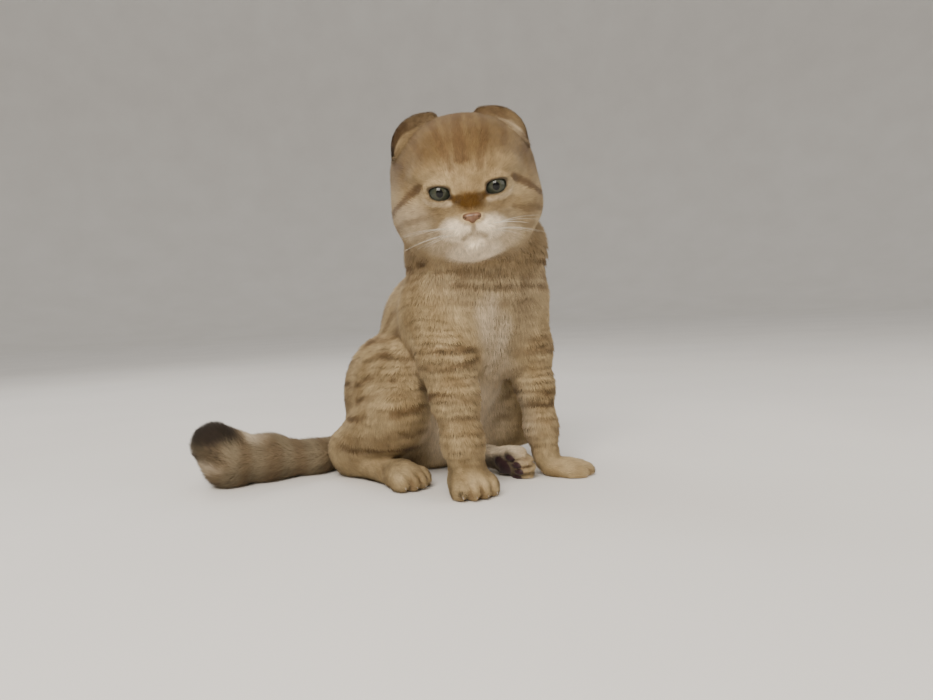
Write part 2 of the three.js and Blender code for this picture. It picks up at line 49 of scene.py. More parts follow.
# Driving dimensions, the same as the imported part's.
ORIGIN = np.array([-61.3, 95.0, 0.0])  # the model's middle on the floor
HEAD_CENTRE = (-31.2, 17.9, 267)
HEAD_TURN = (12, -5, -34)  # degrees: nose down, left side up, face to the cat's right
EYE_CENTRE = (22.4, -45, -3.5)  # on the left, in the head's frame
EYEBALL_RADIUS = 11.0
NOSE_PLACE = (0, -66, -24)
NOSE_SIZE = (7.4, 5.0, 3.5)
PAW_PAD = (16.5, 20, 15)
TOE = (6.2, 12.5, 11.5)
TOE_SPACING = 8.6
TOE_SLOTS = (-1.5, -0.5, 0.5, 1.5)
TOE_FORWARD = 16
TOE_FAN = 2.4
TOE_HEIGHT = -3
CLAW_SPACING = 9.1
CLAW_FORWARD = 25.6

# Depth of the coat over the skin.
DEPTH_TRUNK = 4.8
DEPTH_LEG = 2.8
DEPTH_PAW = 1.2
DEPTH_THIGH = 4.2
DEPTH_TAIL = 5.0
DEPTH_EAR = 1.2

# Fineness of the skin.
SKIN_CELL = 2.35
NOSE_CELL = 0.45
FLOOR_GAP = 0.4  # lowest the skin goes
FAR = 60.0  # distance that stands for any greater one
SKIN_BOX = ((-232, -62, -6), (106, 244, 332))

# How far forward two places lie in the head's frame.
FACE_FRONT = -38  # the face's features lie in front of this
LIDS_FRONT = -40
LIPS_FRONT = -56

SIDES = (("left", 1), ("right", -1))


# Shapes: distances that are negative inside, for rows of points.

def turn_matrix(turn):
    """Rotation about X, Y and Z in degrees, applied as Y, X, Z."""
    (cx, sx), (cy, sy), (cz, sz) = (
        (math.cos(math.radians(angle)), math.sin(math.radians(angle))) for angle in turn
    )
    about_x = np.array([[1, 0, 0], [0, cx, -sx], [0, sx, cx]])
    about_y = np.array([[cy, 0, sy], [0, 1, 0], [-sy, 0, cy]])
    about_z = np.array([[cz, -sz, 0], [sz, cz, 0], [0, 0, 1]])
    return about_z @ about_x @ about_y


class Place:
    """A local frame: a position, a turn and a stretch along each axis."""

    def __init__(self, position, turn=(0, 0, 0), scale=(1, 1, 1)):
        self.position = np.array(position, float)
        self.axes = turn_matrix(turn)
        self.scale = np.array(scale, float)

    def inward(self, points):
        """Points of the cat's frame, in this frame."""
        local = (points - self.position.astype(points.dtype)) @ self.axes.astype(points.dtype)
        return local / self.scale.astype(points.dtype)

    def outward(self, points):
        """Points of this frame, in the cat's frame."""
        return (np.asarray(points, float) * self.scale) @ self.axes.T + self.position


HEAD = Place(HEAD_CENTRE, HEAD_TURN)
PAWS = {
    "hind_right": Place((-74.5, 75, 11), (0, 0, 5), (1, 1, 0.88)),
    "hind_left": Place((21, 34, 14.5), (0, 68, 4), (0.85, 1, 0.85)),
    "front_right": Place((-48, 9, 11), (0, 0, -13), (1.13, 1, 0.92)),
    "front_left": Place((56, 2, 6.5), (0, 0, 43), (1, 1, 0.65)),
}


def length(vectors):
    return np.sqrt((vectors * vectors).sum(axis=1))


def unit(vectors):
    return vectors / np.maximum(length(vectors), 1e-9)[:, None]


def soft_step(low, high, values):
    t = np.clip((values - low) / (high - low), 0, 1)
    return t * t * (3 - 2 * t)


def blob(p, centre, radii, turn=(0, 0, 0)):
    """Distance to an ellipsoid."""
    local = (p - np.array(centre, p.dtype)) @ turn_matrix(turn).astype(p.dtype)
    scaled = local / np.array(radii, p.dtype)
    reach = length(scaled)
    slope = np.maximum(length(scaled / np.array(radii, p.dtype)), 1e-6)
    return reach * (reach - 1) / slope


def limb(p, a, radius_a, b, radius_b):
    """Distance to a limb from a to b, whose radius changes evenly."""
    start = np.array(a, p.dtype)
    along = np.array(b, p.dtype) - start
    offset = p - start
    t = np.clip(offset @ along / (along @ along), 0, 1)
    return length(offset - t[:, None] * along) - radius_a - t * (radius_b - radius_a)


def join(blend, *distances):
    """The nearest of several shapes, with fillets of about the given width."""
    nearest = distances[0]
    for other in distances[1:]:
        overlap = np.maximum(blend - np.abs(nearest - other), 0) / blend
        nearest = np.minimum(nearest, other) - overlap * overlap * blend / 4
    return nearest


def carve(blend, distance, cutter):
    """A shape without what lies in the cutter."""
    return -join(blend, -distance, cutter)


def chain(p, blend, stations):
    """Limbs through stations, each a point and the radius there."""
    links = []
    for (*a, radius_a), (*b, radius_b) in zip(stations, stations[1:]):
        links.append(limb(p, a, radius_a, b, radius_b))
    return join(blend, *links)


def path_distance(p, points):
    """Distance to a line through points."""
    return np.minimum.reduce([limb(p, a, 0, b, 0) for a, b in zip(points, points[1:])])


def in_box(p, box):
    low, high = np.array(box)
    return ((p > low) & (p < high)).all(axis=1)


def where_near(p, box, shape, *details):
    """The shape's distance for the points in a box, and a far one for the others."""
    near = in_box(p, box)
    distance = np.full(len(p), FAR, p.dtype)
    distance[near] = shape(p[near], *details)
    return distance


def closeness(distance, reach=5.0, lowest=0):
    """1 on a shape and less with the distance; more than 1 inside it, if the lowest is below 0."""
    return np.exp(-np.clip(distance, lowest, FAR) / reach)


def noise(p, size, seed=0):
    """Smooth noise between -1 and 1, with features about size across."""
    q = np.asarray(p, np.float64) / size + (seed * 17.31 + 101.7)
    cell = np.floor(q).astype(np.int64)
    f = q - cell
    f = f * f * (3 - 2 * f)
    total = np.zeros(len(q))
    for corner in range(8):
        step = np.array([corner & 1, corner >> 1 & 1, corner >> 2 & 1])
        key = (cell + step) @ np.array([73856093, 19349663, 83492791])
        key = (key ^ (key >> 13)) * 1274126177 & 0x7FFFFFFF
        value = ((key ^ (key >> 16)) & 0xFFFF) / 32767.5 - 1
        total += value * np.where(step, f, 1 - f).prod(axis=1)
    return total


# The head, in its own frame: the face looks along -Y. bare is 0 for the coat's outline and 1 for
# the skin, which lies inside it by each shape's own depth.

def head_shape(h, bare):
    shapes = [
        blob(h, (0, 6, 8), (63, 56, 48.5)) + 3.2 * bare,  # skull
        blob(h, (0, -16, 17), (48, 38, 36)) + 2.4 * bare,  # forehead
        blob(h, (0, -42, -30), (31, 22, 22)) + 1.8 * bare,  # muzzle
        blob(h, (0, -44, -48.5), (18, 15, 13)) + 1.8 * bare,  # chin
        limb(h, (0, -46, 2), 10, (0, -60, -18), 8) + 1.2 * bare,  # bridge of the nose
    ]
    for side in (1, -1):
        shapes += [
            blob(h, (32 * side, -8, -20), (33, 42, 34)) + 3.2 * bare,  # cheek
            blob(h, (24 * side, -42, 12), (17, 14, 10)) + 1.6 * bare,  # brow
            blob(h, (11 * side, -55, -32), (14, 12, 12)) + 1.5 * bare,  # whisker pad
            blob(h, (22 * side, -26, -42), (24, 26, 18)) + 3.2 * bare,  # jaw
        ]
    return join(14, *shapes)


# An ear's fold is an arc from its inner end, beside the crown, out and down to its outer end.
EAR_RIBS = 12
EAR_ARC_CENTRE = (21, 28.5)  # outward and up
EAR_REACH = 31  # of the arc, outward
EAR_HEIGHTS = {1: 26, -1: 27.2}  # of the arc, left and right
EAR_ARC_POWER = 0.85  # below 1 the arc is fuller than an ellipse's
EAR_ROOT = (0.94, 11, -8)  # share of the way outward, then back and down from the fold
EAR_FLAP = np.array([1.5, -15, -12])  # from the fold outward, forward and down to the free edge
EAR_FLAP_ENDS = 0.3  # share of the flap that is left at the fold's two ends
EAR_RADII = (5, 4.4, 3.4)  # at the root, the fold and the free edge
EAR_FILLET = 6  # between the ears and the head
NECK_FILLET = 14  # between the head and the trunk


def ear_shape(h, side):
    """A folded ear: a fan of short ribs that rise from the skull and fall forward."""
    ribs = []
    root_radius, fold_radius, edge_radius = EAR_RADII
    for across in np.linspace(0, 1, EAR_RIBS):
        angle = across * math.pi / 2
        out = EAR_ARC_CENTRE[0] + EAR_REACH * math.sin(angle) ** EAR_ARC_POWER
        up = EAR_ARC_CENTRE[1] + EAR_HEIGHTS[side] * max(0, math.cos(angle)) ** EAR_ARC_POWER
        root = (side * EAR_ROOT[0] * out, EAR_ROOT[1], up + EAR_ROOT[2])
        fold = np.array([side * out, -2, up])
        reach = EAR_FLAP_ENDS + (1 - EAR_FLAP_ENDS) * math.sin(across * math.pi)
        edge = fold + EAR_FLAP * np.array([side, 1, 1]) * reach
        ribs.append(chain(h, 4, [(*root, root_radius), (*fold, fold_radius), (*edge, edge_radius)]))
    return join(5, *ribs)


# The opening between the lids is a rounded box, sheared so that its outer corner is the higher.
LID_HALF_WIDTH = 7.9
LID_UP = 4.8
LID_DOWN = 5.6
LID_SHEAR = (0.14, 0.07)  # outward per upward, and upward per outward
LID_SHIFT = 0.2  # outward from the eye's centre
LID_CORNERS = 2.6  # 2 would make the opening an ellipse, more makes it boxier
LID_THICKNESS = 1.5
LID_MEAN_HALF = 5.5  # turns a share of the opening into millimetres


def lid_height(h, side):
    """Height above the slanting line through an eye's two corners."""
    return h[:, 2] - EYE_CENTRE[2] - LID_SHEAR[1] * (h[:, 0] * side - EYE_CENTRE[0])


def lid_line(h, side):
    """How far a point lies outside the opening between the lids, seen from the front."""
    up = h[:, 2] - EYE_CENTRE[2]
    u = (h[:, 0] * side - EYE_CENTRE[0] - LID_SHIFT - LID_SHEAR[0] * up) / LID_HALF_WIDTH
    v = lid_height(h, side)
    v = np.where(v > 0, v / LID_UP, v / LID_DOWN)
    reach = (np.abs(u) ** LID_CORNERS + np.abs(v) ** LID_CORNERS) ** (1 / LID_CORNERS)
    return (reach - 1) * LID_MEAN_HALF


def lid_rim(h, side):
    """Width of the dark rim: widest in the middle of the upper lid."""
    return 0.25 + 0.9 * soft_step(0.5, 4.5, lid_height(h, side))


MOUTH = [(0, -72, -27), (0, -71.5, -36), (5, -70.5, -37.5), (8.5, -68.5, -40)]  # its left half


def mouth_line(h):
    """Distance to the line that runs down from the nose and out between the lips."""
    halves = [path_distance(h, [(x * side, y, z) for x, y, z in MOUTH]) for side in (1, -1)]
    return np.minimum(*halves)


def face_details(h, head):
    """Muzzle pads, lids and mouth on the bare head."""
    for side in (1, -1):
        head = join(5, head, blob(h, (9.5 * side, -60, -32), (11, 9.5, 8.5)))
        centre = np.array([EYE_CENTRE[0] * side, EYE_CENTRE[1], EYE_CENTRE[2]], h.dtype)
        from_eye = length(h - centre)
        head = join(7, head, from_eye - EYEBALL_RADIUS - LID_THICKNESS)
        opening = np.maximum(lid_line(h, side), EYEBALL_RADIUS - 1.5 - from_eye)
        opening = np.maximum(opening, h[:, 1] - centre[1])
        head = carve(0.8, head, opening)
    head = join(4, head, blob(h, (0, -60, -45), (9, 7, 6)))
    return carve(1.5, head, mouth_line(h) - 0.7)


def trunk_shape(p):
    return join(
        30,
        blob(p, (-2, 43, 213), (71, 58, 50)),  # neck
        blob(p, (0, 50, 161), (62, 52, 60), (12, 0, 0)),  # chest and shoulders
        blob(p, (-2, 101, 130), (63, 64, 76), (-28, 0, 0)),  # ribs
        blob(p, (-1, 140, 74), (68, 68, 72), (-20, 0, 0)),  # loins and belly
        blob(p, (0, 158, 40), (74, 62, 46)),  # rump
        limb(p, (-8, 58, 247), 22, (6, 96, 198), 20),  # nape
        limb(p, (6, 96, 198), 20, (4, 132, 150), 24),  # withers
    )


def pads_shape(q):
    """The bare pads under a paw: the big middle one and one under each toe."""
    pads = [blob(q, (0, 1, -12), (10, 8, 4.5))]
    pads += [blob(q, (5 * side, 5, -12), (6, 6, 4)) for side in (-1, 1)]
    for slot in TOE_SLOTS:
        pads.append(blob(q, (slot * 8.2, -17 + 2.6 * slot * slot, -11.5), (3.6, 5.5, 3.5)))
    return pads


def paw_shape(q, bare):
    """A paw in its own frame, pointing along -Y."""
    toes = []
    for slot in TOE_SLOTS:
        forward = TOE_FORWARD - TOE_FAN * slot * slot
        toe = (slot * TOE_SPACING, -forward, TOE_HEIGHT)
        toes.append(blob(q, toe, TOE) + DEPTH_PAW * bare)
    paw = join(5 - 0.8 * bare, blob(q, (0, 0, 0), PAW_PAD) + DEPTH_PAW * bare, *toes)
    if bare:
        paw = join(1.5, paw, *pads_shape(q))
    return paw


# Stations down each front leg, and the tail's from its root: a point and the radius there.
FRONT_LEGS = {
    "front_right": [
        (-42, 50, 158, 35), (-50, 30, 118, 26), (-51, 20, 84, 21), (-50, 13, 46, 18), (-49, 9, 20, 16),
    ],
    "front_left": [
        (37, 44, 161, 35), (41.5, 28, 120, 22.5), (42.5, 22, 84, 18), (43.5, 17, 46, 15.5),
        (45, 13, 18, 13.5),
    ],
}
TAIL = [
    (-10, 196, 24, 26), (-60, 200, 18, 20), (-105, 194, 16, 18), (-150, 202, 21, 23),
    (-186, 208, 25, 27), (-200, 208, 40, 23),
]


def front_leg_shape(p, name, bare):
    leg = chain(p, 10, FRONT_LEGS[name]) + DEPTH_LEG * bare
    return join(8, leg, paw_shape(PAWS[name].inward(p), bare))


# Each hind leg's thigh as a blob, its shank as a limb, and the width of the fillet between them.
HIND_LEGS = {
    "hind_right": (
        ((-61, 120, 78), (35, 63, 60), (-14, 0, 0)), ((-74, 78, 70), 24, (-85, 152, 28), 24), 16,
    ),
    "hind_left": (
        ((60, 122, 66), (38, 62, 54), (-8, 0, 10)), ((74, 88, 40), 26, (17, 118, 20), 18), 14,
    ),
}


def hind_leg_shape(p, name, bare):
    thigh, shank, fillet = HIND_LEGS[name]
    q = PAWS[name].inward(p)
    foot = limb(q, (0, 82, 1), 14.5, (0, 8, -1), 12.5) + 2.4 * bare
    foot = join(8, paw_shape(q, bare), foot)
    return join(fillet, blob(p, *thigh) + DEPTH_THIGH * bare, limb(p, *shank) + DEPTH_LEG * bare, foot)


PART_SHAPES = {
    "front": front_leg_shape,
    "hind": hind_leg_shape,
    "tail": lambda p, _, bare: chain(p, 10, TAIL) + DEPTH_TAIL * bare,
}

# The box around each part, and the width of its fillet to the trunk.
HEAD_BOX = ((-125, -80, 170), (75, 115, 350))
PARTS = {
    "front_right": (((-110, -50, -30), (10, 110, 215)), 22),
    "front_left": (((-10, -50, -30), (110, 110, 215)), 22),
    "hind_right": (((-140, 25, -30), (10, 220, 170)), 16),
    "hind_left": (((-40, -5, -30), (140, 220, 160)), 16),
    "tail": (((-250, 140, -30), (40, 250, 90)), 16),
}


def part_distances(p, bare):
    """Each part's own distance, for the coat's outline or for the skin."""
    parts = {"trunk": trunk_shape(p) + DEPTH_TRUNK * bare}
    parts["head"] = where_near(p, HEAD_BOX, lambda q: head_shape(HEAD.inward(q), bare))
    for word, side in SIDES:
        ear = where_near(p, HEAD_BOX, lambda q: ear_shape(HEAD.inward(q), side) + DEPTH_EAR * bare)
        parts[f"ear_{word}"] = ear
    for name, (box, _) in PARTS.items():
        parts[name] = where_near(p, box, PART_SHAPES[name.split("_")[0]], name, bare)
    return parts


def body_distance(p, bare):
    """The whole body's distance, for the coat's outline or for the skin."""
    parts = part_distances(p, bare)
    body = join(NECK_FILLET, parts["trunk"], parts["head"])
    for name, (_, blend) in PARTS.items():
        body = np.minimum(body, join(blend, parts["trunk"], parts[name]))
    for word, _ in SIDES:
        body = join(EAR_FILLET, body, parts[f"ear_{word}"])
    if bare:
        near = in_box(p, HEAD_BOX)
        body[near] = face_details(HEAD.inward(p[near]), body[near])
        body = np.maximum(body, FLOOR_GAP - p[:, 2])
    return body


def skin_distance(p):
    return body_distance(p, 1)


# Meshes.

def to_metres(points):
    return (points - ORIGIN) / 1000


def read_rows(elements, key, width, kind=np.float32):
    """One property of all of a mesh's elements, in rows."""
    values = np.empty(len(elements) * width, kind)
    elements.foreach_get(key, values)
    return values.reshape(-1, width)


def read_places(elements, key):
    """Vertices or the centres of faces, in millimetres in the cat's own frame."""
    return read_rows(elements, key, 3).astype(np.float64) * 1000 + ORIGIN


def place_vertices(mesh, points):
    mesh.vertices.foreach_set("co", to_metres(points).astype(np.float32).ravel())
    mesh.update()


def set_attribute(mesh, name, values):
    """Stores one number or one vector per vertex."""
    kind, key = ("FLOAT", "value") if values.ndim == 1 else ("FLOAT_VECTOR", "vector")
    attribute = mesh.attributes.new(name, kind, "POINT")
    attribute.data.foreach_set(key, np.asarray(values, np.float32).ravel())


def set_bake_map(mesh, places):
    mesh.uv_layers.new(name="OFBake").data.foreach_set("uv", places.astype(np.float32).ravel())


def mesh_object(name, points, faces, material, attributes=None):
    """A smooth mesh, from points in millimetres and faces as rows of their corners."""
    mesh = bpy.data.meshes.new(name)
    mesh.vertices.add(len(points))
    mesh.loops.add(faces.size)
    mesh.loops.foreach_set("vertex_index", faces.astype(np.int32).ravel())
    mesh.polygons.add(len(faces))
    mesh.polygons.foreach_set("loop_start", np.arange(0, faces.size, faces.shape[1], np.int32))
    mesh.polygons.foreach_set("use_smooth", np.ones(len(faces), bool))
    mesh.materials.append(material)
    place_vertices(mesh, points)
    mesh.update(calc_edges=True)
    for key, values in (attributes or {}).items():
        set_attribute(mesh, key, values)
    obj = bpy.data.objects.new(name, mesh)
    bpy.context.scene.collection.objects.link(obj)
    return obj


def surface_quads(shape, box, cell):
    """Points and quads on a shape's surface inside a box."""
    low, high = box
    counts = [int(math.ceil((b - a) / cell)) + 1 for a, b in zip(low, high)]
    axes = [np.float32(a) + cell * np.arange(n, dtype=np.float32) for a, n in zip(low, counts)]
    values = np.empty(counts, np.float32)
    for i, x in enumerate(axes[0]):
        y, z = np.meshgrid(axes[1], axes[2], indexing="ij")
        slab = np.stack([np.full(y.size, x, np.float32), y.ravel(), z.ravel()], axis=1)
        values[i] = shape(slab).reshape(y.shape)
    grid = openvdb.FloatGrid(float(FAR))
    grid.copyFromArray(values)
    points, quads = grid.convertToQuads(isovalue=0.0)
    return points * cell + np.array(low, float), quads


def onto_surface(points, shape, rounds=2, step=0.4):
    """Moves points along the shape's slope onto its surface."""
    for _ in range(rounds):
        value = shape(points)
        slope = np.empty_like(points)
        for axis in range(3):
            ahead = points.copy()
            ahead[:, axis] += step
            slope[:, axis] = (shape(ahead) - value) / step
        steepness = np.maximum((slope * slope).sum(axis=1), 0.2)
        move = slope * (value / steepness)[:, None]
        reach = np.maximum(length(move), 1e-9)
        points = points - move * np.minimum(1, 1.5 / reach)[:, None]
    return points


def refine(mesh, wanted):
    """Splits the wanted faces in four."""
    picked = wanted(read_places(mesh.polygons, "center"))
    bm = bmesh.new()
    bm.from_mesh(mesh)
    bm.faces.ensure_lookup_table()
    edges = {edge for index in np.flatnonzero(picked) for edge in bm.faces[index].edges}
    bmesh.ops.subdivide_edges(bm, edges=list(edges), cuts=1, use_grid_fill=True)
    bmesh.ops.triangulate(bm, faces=[face for face in bm.faces if len(face.verts) > 4])
    bm.to_mesh(mesh)
    bm.free()


# Where the skin needs finer faces: first the face, ears and toes, then the lids and lips.

def is_detailed(p):
    h = HEAD.inward(p)
    face = (np.abs(h[:, 0]) < 42) & (h[:, 1] < FACE_FRONT) & (h[:, 2] > -56) & (h[:, 2] < 16)
    ears = np.minimum(ear_shape(h, 1), ear_shape(h, -1)) < 1
    toes = np.zeros(len(p), bool)
    for place in PAWS.values():
        q = place.inward(p)
        toes |= (np.abs(q[:, 0]) < 24) & (q[:, 1] < -6) & (q[:, 1] > -36) & (np.abs(q[:, 2]) < 20)
    return face | ears | toes


def is_fine(p):
    h = HEAD.inward(p)
    lips = (mouth_line(h) < 3.5) & (h[:, 1] < -55)
    for side in (1, -1):
        lips |= (np.abs(lid_line(h, side)) < 4) & (h[:, 1] < LIDS_FRONT)
    return lips


def make_skin(material):
    """The one skin that stands for all the flesh."""
    skin = mesh_object("skin", *surface_quads(skin_distance, SKIN_BOX, SKIN_CELL), material)
    mesh = skin.data
    for wanted in (is_detailed, is_fine):
        refine(mesh, wanted)
        points = read_places(mesh.vertices, "co")
        moving = wanted(points)
        points[moving] = onto_surface(points[moving], skin_distance)
        place_vertices(mesh, points)
    mesh.polygons.foreach_set("use_smooth", np.ones(len(mesh.polygons), bool))
    return skin


# The lie of the coat.

DEEPEST = -30  # distance inside a part from which its weight grows no more


def lie_of_coat(p, parts):
    """The way in which the hairs point, before it is laid along the surface."""
    weights, ways = [], []

    def add(distance, way, reach=7.0):
        weights.append(closeness(distance, reach, DEEPEST))
        ways.append(unit(way))

    h = HEAD.inward(p)
    from_nose = h - np.array([0.0, -74.0, -20.0])
    from_nose[:, 2] += 0.35 * np.clip(h[:, 2] + 30, -30, 0)  # down over the chin
    add(parts["head"], from_nose @ HEAD.axes.T)
    for word, side in SIDES:
        fold = np.tile([0.5 * side, -1.0, -0.55], (len(p), 1))
        add(parts[f"ear_{word}"] - 1.5, fold @ HEAD.axes.T, 1.5)
    back = soft_step(20, 110, p[:, 1])
    trunk = np.stack([0.002 * p[:, 0], 0.05 + 0.55 * back, -np.ones(len(p))], axis=1)
    add(parts["trunk"], trunk)
    for name, place in PAWS.items():
        q = place.inward(p)
        toward_toes = np.tile([0.0, -1.0, -0.12], (len(p), 1)) @ place.axes.T
        down = np.tile([0.0, -0.12, -1.0], (len(p), 1))
        if name.startswith("front"):
            on_paw = soft_step(30, 12, q[:, 2])
            way = down * (1 - on_paw)[:, None] + toward_toes * on_paw[:, None]
        else:
            on_foot = soft_step(34, 14, length(q - np.array([0, 1, 0]) * np.clip(q[:, 1:2], -20, 84)))
            down[:, 1] = -0.05
            way = down * (1 - on_foot)[:, None] + toward_toes * on_foot[:, None]
        add(parts[name], way)
    starts = np.array([station[:3] for station in TAIL], float)
    middles = (starts[1:] + starts[:-1]) / 2
    nearest = np.argmin(((p[:, None, :] - middles[None]) ** 2).sum(axis=2), axis=1)
    tail = (starts[1:] - starts[:-1])[nearest]
    add(parts["tail"], tail)
    total = sum(weight[:, None] * way for weight, way in zip(weights, ways))
    return unit(total)


# Markings. Each is a share between 0 and 1 at a point.

def stroke(h, points, half_width, feather=1.6):
    """A line through points that fades out over the feather."""
    return 1 - soft_step(half_width, half_width + feather, path_distance(h, points))


def on_face(points, step=5.0):
    """A line's points, with more between them, drawn onto the head's skin."""
    points = np.array(points, float)
    dense = [points[:1]]
    for a, b in zip(points, points[1:]):
        count = max(1, round(float(np.linalg.norm(b - a)) / step))
        dense.append(a + (b - a) * (np.arange(1, count + 1) / count)[:, None])
    return onto_surface(np.concatenate(dense), lambda h: head_shape(h, 1), rounds=8)


def patch(h, centre, radii, edge=0.35):
    reach = length((h - np.array(centre)) / np.array(radii))
    return 1 - soft_step(1 - edge, 1 + edge, reach)


def patches(h, rows):
    """The strongest of several patches: for each its share, centre, radii and edge."""
    return np.maximum.reduce([share * patch(h, *row) for share, *row in rows])


# Lines on the left half of the face and their mirror image: share of brown, half width, points.
FACE_LINES = [
    (0.42, 1.4, [(9, -10, 55), (9, -33, 49), (10, -48, 33)]),
    (0.5, 1.8, [(19, -6, 51), (19, -30, 44), (15, -48, 26), (11, -55, 12)]),
    (0.38, 1.8, [(32, -4, 44), (33, -26, 36), (30, -42, 24)]),
    (0.85, 1.8, [(36, -49, 1), (41, -47, -1), (49, -40, -5), (59, -32, -12), (64, -10, -22)]),
    (0.45, 1.4, [(36, -51, -21), (44, -46, -23), (55, -38, -26), (63, -16, -32)]),
    (0.25, 1.0, [(30, -54, -31), (42, -44, -36), (54, -28, -42)]),
    (0.6, 1.8, [(46, -26, 18), (54, -15, 22)]),
    (0.5, 2.4, [(8, 20, 58), (9, 45, 44), (8, 62, 20)]),
    (0.5, 2.6, [(24, 20, 50), (26, 44, 36), (24, 58, 12)]),
    (0.5, 2.6, [(44, 16, 36), (46, 38, 20), (44, 50, -4)]),
]
CROWN_LINE = [(0, -8, 56), (-1, -34, 51), (-2, -52, 31), (-2, -57, 21)]
CROWN_SPOT = ((-2, -56, 18), (6, 9, 3.4), 0.5)
NOSE_BRIDGE = ((0, -66, -12.5), (14, 14, 8), 0.5)
NOSE_SIDE = [(0, -66, -12), (13, -58, -9)]
TEAR_LINE = [(14.5, -55, -7.5), (11, -59, -11)]
UNDER_EYE_RUST = [(12, -62, -13), (22, -57, -16), (38, -50, -17)]
UNDER_EYE_CREAM = [(15, -56, -13), (24, -55, -13), (34, -50, -9)]

# Cream patches: whisker pad, jaw and cheek on either side, then chin and right cheek.
SIDE_CREAM = [
    (1.0, (11, -64, -34), (16, 14, 10), 0.35),
    (0.4, (22, -52, -42), (18, 20, 12), 0.5),
    (0.08, (42, -38, -36), (20, 24, 12), 0.5),
]
MIDDLE_CREAM = [
    (1.0, (0, -50, -50), (23, 25, 14), 0.4),
    (0.34, (-44, -38, -26), (17, 22, 16), 0.5),
]


def head_markings(h):
    """Shares of brown, cream, rust and dark on the head."""
    ragged = h + 0.7 * noise(h, 3.5, 3)[:, None] + 1.0 * noise(h, 9, 4)[:, None]
    browns = [0.68 * stroke(ragged, on_face(CROWN_LINE), 2.4, 4.5), 0.8 * patch(ragged, *CROWN_SPOT)]
    creams = [patches(ragged, MIDDLE_CREAM)]
    rusts = [patch(ragged, *NOSE_BRIDGE)]
    darks = [np.zeros(len(h))]
    front = h[:, 1] < FACE_FRONT
    for side in (1, -1):
        mirror = np.array([side, 1, 1])
        g = ragged * mirror
        for share, half_width, points in FACE_LINES:
            browns.append(share * stroke(g, on_face(points), half_width, 2.6))
        rusts.append(0.4 * stroke(g, on_face(UNDER_EYE_RUST), 2.5, 4.5))
        rusts.append(0.95 * stroke(h * mirror, NOSE_SIDE, 2.8, 3))
        creams.append(0.25 * stroke(g, UNDER_EYE_CREAM, 0.8, 2.5))
        creams.append(patches(g, SIDE_CREAM))
        width = lid_rim(h, side)
        rim = 0.85 * (1 - soft_step(width, width + 1.5, lid_line(h, side)))
        tear = stroke(h * mirror, TEAR_LINE, 0.6, 1.4)
        darks += [rim * front, 0.5 * tear * front]
    brown, cream, rust, dark = (np.maximum.reduce(shares) for shares in (browns, creams, rusts, darks))
    cream *= 1 - 0.95 * patch(h, (0, -70, -24), (9, 8, 5))
    # The mouth is a soft brown line, the darkest in the middle and at its corners.
    lips = 1 - soft_step(0.6, 4.2, mouth_line(h))
    lips = lips * (0.45 + 0.45 * soft_step(5, 1.5, np.abs(h[:, 0]))) * (h[:, 1] < LIPS_FRONT)
    cream *= 1 - lips
    brown = np.maximum(brown * (1 - cream * 0.8), lips)
    # The crown, forehead and sides of the head are a deeper gold than the face.
    crown = soft_step(0, 26, h[:, 2] + 0.35 * (h[:, 1] + 50)) * (1 - cream)
    rust = np.maximum(rust, 0.18 + 0.52 * crown) * (1 - 0.9 * cream)
    return brown, cream, rust, dark


# Heights of the bars across each front leg, with their shares of brown.
ARM_BARS = {
    "front_right": ((129, 0.7), (116, 0.75), (102, 0.35), (88, 0.95), (70, 0.45), (57, 0.4), (47, 0.3)),
    "front_left": ((134, 0.6), (123, 0.6), (102, 0.35), (82, 0.9), (69, 0.75), (57, 0.45), (46, 0.3)),
}
COLLAR_BARS = ((203, 0.95), (192, 0.7), (181, 0.8), (168, 0.4))
# Painted shade: height and share of the brown line in the right thigh's low fold.
THIGH_FOLD_SHADE = ((36, 0.8),)
BREAST_LINE = [(-22, -2, 158), (-8, 12, 120), (10, 28, 92), (20, 40, 62)]
BELLY = ((0, 60, 50), (46, 50, 52), 0.4)
TAIL_RIM = ((-214, 198, 17), (16, 22, 8), 0.4)
TAIL_TOP = ((-160, 200, 44), (13, 20, 8), 0.5)
OUTER_TOE_SPOT = ((-16, -21, -4), (3, 4, 4), 0.4)  # in the right front paw's frame


def bars(height, rows, half_width=1.6, feather=3.2):
    """Bars at the given heights."""
    share = np.zeros(len(height))
    for middle, strength in rows:
        away = np.abs(height - middle)
        share = np.maximum(share, strength * (1 - soft_step(half_width, half_width + feather, away)))
    return share


def bands(value, spacing, share):
    """Soft bands across value, each taking a share of the spacing."""
    wave = np.abs((value / spacing) % 1 - 0.5) * 2
    return 1 - soft_step(share * 0.4, share * 1.7, wave)


